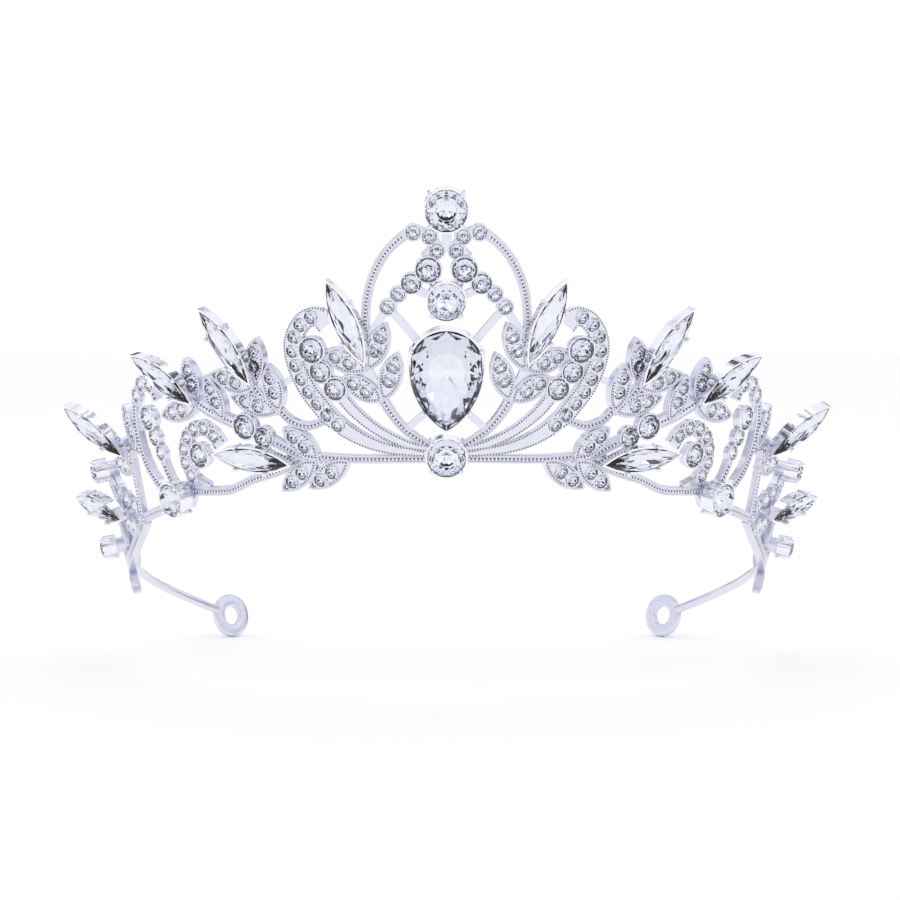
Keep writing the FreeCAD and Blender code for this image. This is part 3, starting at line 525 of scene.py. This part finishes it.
def lathe(name, profile, count, material):
    """A closed ring turned about Z from a closed profile of (radius, height)."""
    points = [Vector((r * math.cos(2 * math.pi * i / count), r * math.sin(2 * math.pi * i / count), z))
              for i in range(count) for r, z in profile]
    size = len(profile)
    faces = []
    for i in range(count):
        here, there = i * size, (i + 1) % count * size
        faces += [[here + j, there + j, there + (j + 1) % size, here + (j + 1) % size] for j in range(size)]
    return mesh_of(name, points, faces, [material], is_smooth=True)


seat_profile = [(1.10, -0.2), (1.27, -0.2), (1.26, 0.12), (1.18, 0.24), (1.11, 0.16)]
seat_shape = keep_shape("seat_shape", lathe("seat_shape", seat_profile, 18, bright_silver))
# a thin dark ring between each chip and its seat ring, painted shade for the shadow round the stone's girdle
shade_ring_profile = [(0.97, -0.12), (1.13, -0.12), (1.13, 0.11), (0.98, 0.11)]
groove_shape = keep_shape("groove_shape", lathe("groove_shape", shade_ring_profile, 18, painted_shade_silver))


def ball(name, segments, rings, material):
    """A smooth ball of radius 1."""
    mesh = bpy.data.meshes.new(name)
    work = bmesh.new()
    bmesh.ops.create_uvsphere(work, u_segments=segments, v_segments=rings, radius=1)
    work.to_mesh(mesh)
    work.free()
    mesh.materials.append(material)
    mesh.polygons.foreach_set("use_smooth", [True] * len(mesh.polygons))
    return mesh


prong_shape = keep_shape("prong_shape", ball("prong_shape", 8, 5, bright_silver))
print("shapes:", chip_shape.name, seat_shape.name, prong_shape.name)


# %% Set the chips
def prongs_round(centre, out, radius, count, reach, height, size):
    """Prong spots spaced round a stone."""
    side = out.cross(Vector((0, 0, 1))).normalized()
    up = side.cross(out)
    turns = [2 * math.pi * (i + 0.5) / count for i in range(count)]
    return [(centre + (side * math.cos(a) + up * math.sin(a)) * (radius * reach) + out * height, out, size)
            for a in turns]


PRONGS, PRONG_REACH, PRONG_HEIGHT, PRONG_RADIUS = 4, 1.06, 0.22 * MM, 0.21 * MM
for region, spots in chips.items():
    stones = set_shapes(region + "_chips", spots, chip_shape, crystal, True)
    add_piece(region + "_chips", stones, replaced=[region + "_stones"])
    seats = set_shapes(region + "_seats", spots, seat_shape, bright_silver)
    add_piece(region + "_seats", seats)
    # painted shade: a dark ring round every chip
    add_piece(region + "_grooves", set_shapes(region + "_grooves", spots, groove_shape, painted_shade_silver))
    prongs = [p for centre, out, radius in spots
              for p in prongs_round(centre, out, radius, PRONGS, PRONG_REACH, PRONG_HEIGHT, PRONG_RADIUS)]
    add_piece(region + "_prongs", set_shapes(region + "_prongs", prongs, prong_shape, bright_silver))
    print(region, len(stones.polygons), "facets on", len(spots), "chips")

# %% [markdown]
# ## Milgrain and rims
# Cast jewellery is rarely left with plain edges. A row of tiny beads, called milgrain, runs between two
# fine rails along each bar, and round the inside of each leaf's rim. Beads follow a line at an even
# spacing, so this is Geometry Nodes work again: one tree resamples the lines and sets a bead on each
# point, and another sweeps a small round section along them.

# %% Two trees for trim
def build_bead_tree():
    tree = bpy.data.node_groups.new("beads along lines", "GeometryNodeTree")
    socket(tree, "Lines", "NodeSocketGeometry")
    socket(tree, "Bead radius", "NodeSocketFloat", 0.00026)
    socket(tree, "Spacing", "NodeSocketFloat", 0.00056)
    socket(tree, "Finish", "NodeSocketMaterial")
    tree.interface.new_socket("Geometry", in_out="OUTPUT", socket_type="NodeSocketGeometry")
    add, link = tree.nodes.new, tree.links.new
    inputs, output = add("NodeGroupInput"), add("NodeGroupOutput")
    curve, even = add("GeometryNodeMeshToCurve"), add("GeometryNodeResampleCurve")
    even.mode = "LENGTH"
    bead = add("GeometryNodeMeshUVSphere")
    bead.inputs["Segments"].default_value = 7
    bead.inputs["Rings"].default_value = 5
    place, real = add("GeometryNodeInstanceOnPoints"), add("GeometryNodeRealizeInstances")
    shade, paint = add("GeometryNodeSetShadeSmooth"), add("GeometryNodeSetMaterial")
    link(inputs.outputs["Lines"], curve.inputs["Mesh"])
    link(curve.outputs["Curve"], even.inputs["Curve"])
    link(inputs.outputs["Spacing"], even.inputs["Length"])
    link(even.outputs["Curve"], place.inputs["Points"])
    link(inputs.outputs["Bead radius"], bead.inputs["Radius"])
    link(bead.outputs["Mesh"], place.inputs["Instance"])
    link(place.outputs["Instances"], real.inputs["Geometry"])
    link(real.outputs["Geometry"], shade.inputs["Geometry"])
    link(shade.outputs["Geometry"], paint.inputs["Geometry"])
    link(inputs.outputs["Finish"], paint.inputs["Material"])
    link(paint.outputs["Geometry"], output.inputs["Geometry"])
    return tree


def build_rail_tree():
    tree = bpy.data.node_groups.new("rails along lines", "GeometryNodeTree")
    socket(tree, "Lines", "NodeSocketGeometry")
    socket(tree, "Rail radius", "NodeSocketFloat", 0.0002)
    socket(tree, "Finish", "NodeSocketMaterial")
    tree.interface.new_socket("Geometry", in_out="OUTPUT", socket_type="NodeSocketGeometry")
    add, link = tree.nodes.new, tree.links.new
    inputs, output = add("NodeGroupInput"), add("NodeGroupOutput")
    curve, section = add("GeometryNodeMeshToCurve"), add("GeometryNodeCurvePrimitiveCircle")
    section.inputs["Resolution"].default_value = 7
    sweep, real = add("GeometryNodeCurveToMesh"), add("GeometryNodeRealizeInstances")
    sweep.inputs["Fill Caps"].default_value = True
    shade, paint = add("GeometryNodeSetShadeSmooth"), add("GeometryNodeSetMaterial")
    link(inputs.outputs["Lines"], curve.inputs["Mesh"])
    link(inputs.outputs["Rail radius"], section.inputs["Radius"])
    link(curve.outputs["Curve"], sweep.inputs["Curve"])
    link(section.outputs["Curve"], sweep.inputs["Profile Curve"])
    link(sweep.outputs["Mesh"], real.inputs["Geometry"])
    link(real.outputs["Geometry"], shade.inputs["Geometry"])
    link(shade.outputs["Geometry"], paint.inputs["Geometry"])
    link(inputs.outputs["Finish"], paint.inputs["Material"])
    link(paint.outputs["Geometry"], output.inputs["Geometry"])
    return tree


bead_tree, rail_tree = build_bead_tree(), build_rail_tree()
print("trees:", bead_tree.name, "and", rail_tree.name)


# %% Lines along a bar and round a leaf
def bar_line(bar, side, across_share, inset, lift):
    """A line along a bar, across_share of the way from its middle to its edge and then inset mm back."""
    points, width, end_width, front, taper_from, _ = bar
    line = smooth([mirrored(p, side) for p in points])
    spots = [band(p, front + lift) for p in line]
    drawn = []
    for i, (point, _, _, out) in enumerate(spots):
        ahead = spots[min(i + 1, len(spots) - 1)][0] - spots[max(i - 1, 0)][0]
        across = out.cross(ahead).normalized()
        share = max(0.0, i / (len(spots) - 1) - taper_from) / (1 - taper_from)
        half = (width + (end_width - width) * share) / 2
        reach = (half - inset) * across_share if across_share else 0.0
        drawn.append(point + across * reach * MM)
    return drawn


def leaf_frame(leaf, side):
    """A leaf's base point, the directions along it, across it and out of it, and its length in mm."""
    base, tip = (mirrored(p, side) for p in leaf)
    start, end = band(base), band(tip)
    out = (start[3] + end[3]).normalized()
    ahead = (end[0] - start[0]).normalized()
    return start[0], ahead, out.cross(ahead).normalized(), out, (end[0] - start[0]).length / MM


def lens_points(length, width, inset, count):
    """A closed pointed oval from (0, 0) to (length, 0), drawn in by inset, starting at the far tip."""
    radius = (length ** 2 + width ** 2) / (4 * width)
    sag = radius - width / 2
    half = math.sqrt((radius - inset) ** 2 - sag ** 2)
    xs = [half * math.cos(2 * math.pi * i / count) for i in range(count)]
    rise = [math.sqrt(max((radius - inset) ** 2 - x * x, 0)) - sag for x in xs]
    return [Vector((length / 2 + x, y if i <= count // 2 else -y))
            for i, (x, y) in enumerate(zip(xs, rise))]


LEAF_WIDTH, LEAF_FRONT = 4.2, 0.75


def leaf_line(leaf, side, inset, count=40):
    """A closed line inset mm inside a leaf's edge."""
    origin, ahead, across, out, length = leaf_frame(leaf, side)
    ring = [origin + (ahead * p.x + across * p.y + out * LEAF_FRONT) * MM
            for p in lens_points(length, LEAF_WIDTH, inset, count)]
    return ring + [ring[0]]


def clear_runs(line, stones, margin):
    """The runs of a line that keep margin mm clear of the stones."""
    runs, run = [], []
    for point in line:
        if all((point - centre).length > radius + margin * MM for centre, _, radius in stones):
            run.append(point)
        else:
            runs.append(run)
            run = []
    return [r for r in runs + [run] if len(r) > 1]


def line_mesh(name, runs):
    """The runs as edges of one mesh."""
    points, edges = [], []
    for run in runs:
        start = len(points)
        points += [tuple(p) for p in run]
        edges += [(start + i, start + i + 1) for i in range(len(run) - 1)]
    mesh = bpy.data.meshes.new(name)
    mesh.from_pydata(points, edges, [])
    return mesh


print("a leaf's rim:", round(leaf_frame(LEAVES["wing"][0], 1)[4], 1), "mm long")

# %% Lay the trim
RAIL_RADIUS, RAIL_INSET, RAIL_MARGIN = 0.21, 0.19, 0.05
BEAD_LIFT, BEAD_MARGIN = 0.02, 0.25
EDGE_INSET, EDGE_MARGIN = 0.17, 0.16
LEAF_RAIL_INSET, LEAF_BEAD_INSET, LEAF_MARGIN = 0.2, 0.62, 0.2
BEAD_ROWS = {"milgrain": (0.28, 0.66), "rim_beads": (0.2, 0.5)}
RECESS_SHARE = 0.72


def trim_lines(region, side, stones):
    """The rails of a region on one side, and its two kinds of bead rows."""
    rails, rows = [], {"milgrain": [], "rim_beads": []}
    for bar in BARS[region]:
        if bar[5] == "milgrain":
            rows["milgrain"] += clear_runs(bar_line(bar, side, 0, 0, BEAD_LIFT), stones, BEAD_MARGIN)
            for edge in (-1, 1):
                rails += clear_runs(bar_line(bar, side, edge, RAIL_INSET, 0.0), stones, RAIL_MARGIN)
        else:
            for edge in (-1, 1):
                line = bar_line(bar, side, edge, EDGE_INSET, 0.0)
                rows["rim_beads"] += clear_runs(line, stones, EDGE_MARGIN)
    for leaf in LEAVES[region]:
        rails.append(leaf_line(leaf, side, LEAF_RAIL_INSET))
        rows["rim_beads"] += clear_runs(leaf_line(leaf, side, LEAF_BEAD_INSET, 64), stones, LEAF_MARGIN)
    return rails, rows


def lay(name, tree, runs, **settings):
    """Adds one piece: the tree run along the lines."""
    add_piece(name, run_tree(tree, line_mesh(name, runs), name,
                             {label.replace("_", " "): value for label, value in settings.items()}))


for region in BARS:
    for side, hand in SIDES:
        title = f"{hand}_{region}"
        rails, rows = trim_lines(region, side, chips["crest" if region == "crest" else title])
        lay(title + "_rails", rail_tree, rails, Rail_radius=RAIL_RADIUS * MM, Finish=casting_silver)
        for row, (radius, spacing) in BEAD_ROWS.items():
            if rows[row]:
                name = f"{title}_{row}"
                lay(name, bead_tree, rows[row], Bead_radius=radius * MM, Spacing=spacing * MM,
                    Finish=bright_silver)
                # under each bead row a thin dark rail of painted shade, so the gaps between the beads look
                # shaded
                lay(name + "_recess", rail_tree, rows[row], Rail_radius=RECESS_SHARE * radius * MM,
                    Finish=painted_shade_silver)
        print(title, "trim laid on", len(rails), "rails")

# %% [markdown]
# ## The large stones
# The crest, the pear and the laps each carry a round stone in a stamped cup. Their cups are kept as
# measured, so each stone is cut to its cup: the girdle sits just under the rim and the point stops
# above the cup's floor.

# %% Cut the cupped round stones
def stone_piece(name, outline, centre, facets, table, depth, crown, girdle, place, replaced):
    """Cuts a stone, puts it in place and adds it."""
    points, faces, finishes = cut_stone(outline, centre, facets, table, depth, crown, girdle)
    mesh = mesh_of(name, points, faces, [crystal, foil], finishes)
    mesh.transform(place)
    return add_piece(name, mesh, replaced=replaced)


def facing(origin, x_axis, out):
    """A transform in mm that puts X along x_axis and Z as near out as it can be."""
    x_axis = x_axis.normalized()
    across = out.cross(x_axis).normalized()
    turned = Matrix((x_axis, across, x_axis.cross(across))).transposed().to_4x4()
    return Matrix.Translation(origin) @ turned @ Matrix.Scale(MM, 4)


GIRDLE, FLOOR = 2.25, 0.43
ROUND_STONES = {
    "top_stone": ((0, 44.0), 0.6, 3.6, 12), "middle_stone": ((0, 28.6), 0.6, 3.2, 12),
    "bottom_stone": ((0, 1.7), 0.6, 3.35, 12),
    "left_junction_stone": ((50.4, -7.0), 1.1, 3.0, 10),
    "right_junction_stone": ((-50.4, -7.0), 1.1, 3.0, 10),
}
END_CUPS, END_RADIUS, END_FACETS = [((78.4, -3.4), 1.3), ((88.0, -18.6), 1.9)], 1.95, 8
ROUND_TABLE, ROUND_GIRDLE = 0.55, 0.22
CLAW_COUNT, CLAW_REACH, CLAW_LEAN = 4, 0.62, 0.15
claws = []


def round_in_cup(name, place, rise, radius, facets, crown, replaced):
    """A round stone in its cup, and the spots of the claws that lean in over it."""
    point, along, up, out = band(place, rise + GIRDLE)
    stone_piece(name, round_outline(radius), Vector((0, 0)), facets, ROUND_TABLE, GIRDLE - FLOOR, crown,
                ROUND_GIRDLE, facing(point, along, out), replaced)
    foot = band(place, rise)[0]
    for i in range(CLAW_COUNT):
        turn = 2 * math.pi * (i + 0.5) / CLAW_COUNT
        away = along * math.cos(turn) + up * math.sin(turn)
        claws.append((foot + away * (radius + CLAW_REACH) * MM, (out - away * CLAW_LEAN).normalized(), 1.0))


for name, (place, rise, radius, facets) in ROUND_STONES.items():
    round_in_cup(name + "_cut", place, rise, radius, facets, 0.35 + 0.32 * radius, [name])
for side, hand in SIDES:
    for number, (place, rise) in enumerate(END_CUPS, start=1):
        round_in_cup(f"{hand}_end_stone_{number}", mirrored(place, side), rise, END_RADIUS, END_FACETS,
                     0.97, [])
print("claws to set:", len(claws))


# %% Make the claws and set them
def claw_mesh():
    """A tapered claw wire that ends in a ball, in metres, standing on Z = 0."""
    profile = [(0.30, 0.1), (0.30, 1.6), (0.26, 2.3), (0.34, 2.5), (0.42, 2.72), (0.40, 2.98), (0.26, 3.14)]
    count, tip = 10, 3.2
    turns = [2 * math.pi * i / count for i in range(count)]
    points = [Vector((r * math.cos(a), r * math.sin(a), z)) * MM for r, z in profile for a in turns]
    faces = []
    for ring in range(len(profile) - 1):
        low, high = ring * count, (ring + 1) * count
        faces += [[low + i, low + (i + 1) % count, high + (i + 1) % count, high + i] for i in range(count)]
    top = (len(profile) - 1) * count
    points.append(Vector((0, 0, tip)) * MM)
    faces += [[top + i, top + (i + 1) % count, len(points) - 1] for i in range(count)]
    faces.append(list(range(count))[::-1])
    return mesh_of("claw_shape", points, faces, [bright_silver], is_smooth=True)


claw_shape = keep_shape("claw_shape", claw_mesh())
add_piece("cup_claws", set_shapes("cup_claws", claws, claw_shape, bright_silver))
print("claws set:", len(claws))

# %% [markdown]
# The pear and the boat-shaped stones are cut by the same function. Only the outline differs: a pear is
# a half circle closed by two long arcs, and a boat shape is two arcs that meet at both tips.

# %% Cut the pear and the boat-shaped stones
FLANK_STEPS, CAP_STEPS = 60, 80


def pear_points(length, width, count):
    """A closed pear outline, evenly spaced from its tip at (0, 0), with its round end towards +X."""
    half = width / 2
    centre = length - half
    radius = (centre ** 2 + half ** 2) / (2 * half)
    sweep = math.asin(centre / radius)
    slopes = [sweep * (1 - i / FLANK_STEPS) for i in range(FLANK_STEPS)]
    flank = [(centre - radius * math.sin(a), radius - half - radius * math.cos(a)) for a in slopes]
    turns = [math.pi * i / CAP_STEPS for i in range(CAP_STEPS)]
    cap = [(centre + half * math.sin(a), -half * math.cos(a)) for a in turns]
    upper = [(x, -y) for x, y in reversed(flank)]
    line = [Vector(p) for p in flank + cap + upper]
    lengths = [0.0]
    for a, b in zip(line, line[1:]):
        lengths.append(lengths[-1] + (b - a).length)
    even, index = [], 0
    for i in range(count):
        wanted = lengths[-1] * i / count
        while lengths[index + 1] < wanted:
            index += 1
        share = (wanted - lengths[index]) / max(lengths[index + 1] - lengths[index], 1e-9)
        even.append(line[index] + (line[index + 1] - line[index]) * share)
    return even


# the flat backs are shallower than the cups, so that light comes back out instead of being trapped
SEAT, GIRDLE_SHARE = 0.4, 0.55
PEAR_PLACE, PEAR_RISE = (0, 6.6), 0.6
PEAR_LENGTH, PEAR_WIDTH, PEAR_HEIGHT = 17.6, 12.7, 5.2
PEAR_FACETS, PEAR_TABLE, PEAR_DEPTH = 12, 0.66, 2.0
point, _, up, out = band(PEAR_PLACE, PEAR_RISE)
girdle_height = SEAT + GIRDLE_SHARE * PEAR_HEIGHT
stone_piece("pear_stone_cut", pear_points(PEAR_LENGTH, PEAR_WIDTH, 112),
            Vector((PEAR_LENGTH - PEAR_WIDTH / 2 - 1.2, 0)), PEAR_FACETS, PEAR_TABLE, PEAR_DEPTH,
            PEAR_HEIGHT + SEAT - girdle_height, 0.15,
            facing(point, up, out) @ Matrix.Translation((0, 0, girdle_height)), ["pear_stone"])

NAVETTE_LENGTH, NAVETTE_WIDTH, NAVETTE_HEIGHT = 15.0, 4.0, 2.9
NAVETTE_FACETS, NAVETTE_TABLE, NAVETTE_DEPTH = 8, 0.5, 0.75
girdle_height = SEAT + GIRDLE_SHARE * NAVETTE_HEIGHT
for side, hand in SIDES:
    for name, (root, tip, root_rise, tip_rise) in NAVETTES.items():
        start, end = band(mirrored(root, side), root_rise), band(mirrored(tip, side), tip_rise)
        place = facing(start[0], end[0] - start[0], (start[3] + end[3]).normalized())
        stone_piece(f"{hand}_navette_{name}_cut", lens_points(NAVETTE_LENGTH, NAVETTE_WIDTH, 0, 96),
                    Vector((NAVETTE_LENGTH / 2, 0)), NAVETTE_FACETS, NAVETTE_TABLE, NAVETTE_DEPTH,
                    NAVETTE_HEIGHT + SEAT - girdle_height, 0.12,
                    place @ Matrix.Translation((0, 0, girdle_height)), [f"{hand}_navette_stone_{name}"])
print("cut one pear and", 2 * len(NAVETTES), "boat-shaped stones")

# %% [markdown]
# ## The arms
# Each arm is a soft flat wire that the wearer bends by hand. A measured hinge at its root stands in for
# that bending, so the wire here is one smooth sweep that bends between the two bodies. The flat ring at
# its end is turned from a profile with rounded corners, because a ribbon has to slide through it
# without catching.

# %% Sweep the arms and turn the loops
ARM = [(99.8, -25.45), (101.4, -25.6), (106.0, -27.2), (113.0, -29.6), (121.0, -32.4), (128.0, -35.0),
       (129.6, -35.6)]
ARM_HALF_WIDTH, ARM_HALF_THICK = 0.84, 0.54
SQUARENESS = 0.6
BEND_START, BEND_END = (100.6, -25.5), (108.0, -27.9)
LOOP_CENTRE = (133.0, -37.0)


def sweep_wire(name, places, steps=8, corners=12):
    """A flat wire of rounded section along the band."""
    spots = [band(p) for p in smooth(places, steps)]
    points, faces = [], []
    for i, (point, _, _, out) in enumerate(spots):
        ahead = spots[min(i + 1, len(spots) - 1)][0] - spots[max(i - 1, 0)][0]
        across = out.cross(ahead).normalized()
        for k in range(corners):
            turn = 2 * math.pi * k / corners
            c, s = math.cos(turn), math.sin(turn)
            wide = math.copysign(abs(c) ** SQUARENESS, c) * ARM_HALF_WIDTH * MM
            thick = math.copysign(abs(s) ** SQUARENESS, s) * ARM_HALF_THICK * MM
            points.append(point + across * wide + out * thick)
    for i in range(len(spots) - 1):
        for k in range(corners):
            a, b = i * corners + k, i * corners + (k + 1) % corners
            faces.append([a, b, b + corners, a + corners])
    faces += [list(range(corners)), list(range(len(points) - corners, len(points)))]
    return mesh_of(name, points, faces, [casting_silver], is_smooth=True)


LOOP_PROFILE = [(1.9, -0.3), (2.05, -0.52), (2.3, -0.6), (4.05, -0.6), (4.3, -0.5), (4.4, -0.25),
                (4.4, 0.25), (4.3, 0.5), (4.05, 0.6), (2.3, 0.6), (2.05, 0.52), (1.9, 0.3)]
for side, hand in SIDES:
    name = hand + "_bent_wire"
    wire = bpy.data.objects.new(name, sweep_wire(name, [mirrored(p, side) for p in ARM]))
    bpy.context.scene.collection.objects.link(wire)
    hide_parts(hand + "_arm_wire")
    start, end = (band(mirrored(place, side))[0] for place in (BEND_START, BEND_END))
    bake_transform(wire, "band", hand + "_arm", start=tuple(start), end=tuple(end))
    loop = lathe(hand + "_tie_loop", LOOP_PROFILE, 56, casting_silver)
    point, along, up, out = band(mirrored(LOOP_CENTRE, side))
    loop.transform(facing(point, along, out))
    add_piece(hand + "_tie_loop", loop, body=hand + "_arm", replaced=[hand + "_end_loop"])
print("arms and loops made")

# %% [markdown]
# ## Stage, light and camera
# Silver and glass show nothing but their surroundings, so the room matters more than the lamps. The sky
# is bright with darker gaps between soft panels, which gives facets and beads something dark to catch,
# and the camera itself sees plain white. The floor is pale, just under the lowest point of the arms.

# %% Floor
low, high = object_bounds()
floor_mesh = bpy.data.meshes.new("floor")
reach = 3.0
floor_mesh.from_pydata([(-reach, -reach, low[2]), (reach, -reach, low[2]), (reach, reach, low[2]),
                        (-reach, reach, low[2])], [], [(0, 1, 2, 3)])
floor_paint, _, surface = new_material("pale_floor")
surface.inputs["Base Color"].default_value = (0.97, 0.97, 0.97, 1)
surface.inputs["Roughness"].default_value = 0.9
surface.inputs["Specular IOR Level"].default_value = 0.1
floor_mesh.materials.append(floor_paint)
floor = bpy.data.objects.new("floor", floor_mesh)
bpy.context.scene.collection.objects.link(floor)
print("floor at", round(low[2], 4))

# %% Sky with soft panels
world = bpy.data.worlds.new("studio")
bpy.context.scene.world = world
world.use_nodes = True
sky = world.node_tree
add, link = sky.nodes.new, sky.links.new
background = sky.nodes["Background"]
direction, panels = add("ShaderNodeTexCoord"), add("ShaderNodeTexNoise")
contrast = add("ShaderNodeValToRGB")
panels.inputs["Scale"].default_value = 5.0
panels.inputs["Detail"].default_value = 1.0
contrast.color_ramp.elements[0].position = 0.37
contrast.color_ramp.elements[0].color = (0.06, 0.06, 0.08, 1)
contrast.color_ramp.elements[1].position = 0.45
contrast.color_ramp.elements[1].color = (0.98, 0.98, 1.05, 1)
seen, plain, choose = add("ShaderNodeLightPath"), add("ShaderNodeMath"), add("ShaderNodeMix")
plain.operation = "MAXIMUM"
choose.data_type = "RGBA"
choose.inputs["B"].default_value = (1.04, 1.04, 1.04, 1)
link(direction.outputs["Generated"], panels.inputs["Vector"])
link(panels.outputs["Fac"], contrast.inputs["Fac"])
link(contrast.outputs["Color"], choose.inputs["A"])
link(seen.outputs["Is Camera Ray"], plain.inputs[0])
link(seen.outputs["Is Diffuse Ray"], plain.inputs[1])
link(plain.outputs["Value"], choose.inputs["Factor"])
link(choose.outputs["Result"], background.inputs["Color"])
background.inputs["Strength"].default_value = 1.0
print("sky:", world.name)


# %% Lamps and camera
def aim(thing, target):
    thing.rotation_euler = (Vector(target) - thing.location).to_track_quat("-Z", "Y").to_euler()


def soft_lamp(name, location, size, power):
    lamp = bpy.data.lights.new(name, "AREA")
    lamp.size = size
    lamp.energy = power
    thing = bpy.data.objects.new(name, lamp)
    thing.location = location
    bpy.context.scene.collection.objects.link(thing)
    aim(thing, (0, -0.02, 0))


soft_lamp("key", (-0.45, -0.75, 0.75), 0.3, 0.35)
soft_lamp("fill", (0.8, -0.6, 0.35), 0.3, 0.2)
soft_lamp("overhead", (0.0, 0.1, 0.9), 0.5, 0.3)

camera_data = bpy.data.cameras.new("camera")
camera_data.lens = 115
camera_data.sensor_width = 36
camera_data.clip_start = 0.01
camera = bpy.data.objects.new("camera", camera_data)
bpy.context.scene.collection.objects.link(camera)
target = Vector((0.0006, -0.056, 0.0023))
elevation, distance = math.radians(3), 0.5
camera.location = target + Vector((0, -math.cos(elevation), math.sin(elevation))) * distance
aim(camera, target)
bpy.context.scene.camera = camera
bpy.context.scene.view_settings.view_transform = "Standard"
print("camera at", tuple(round(v, 3) for v in camera.location))
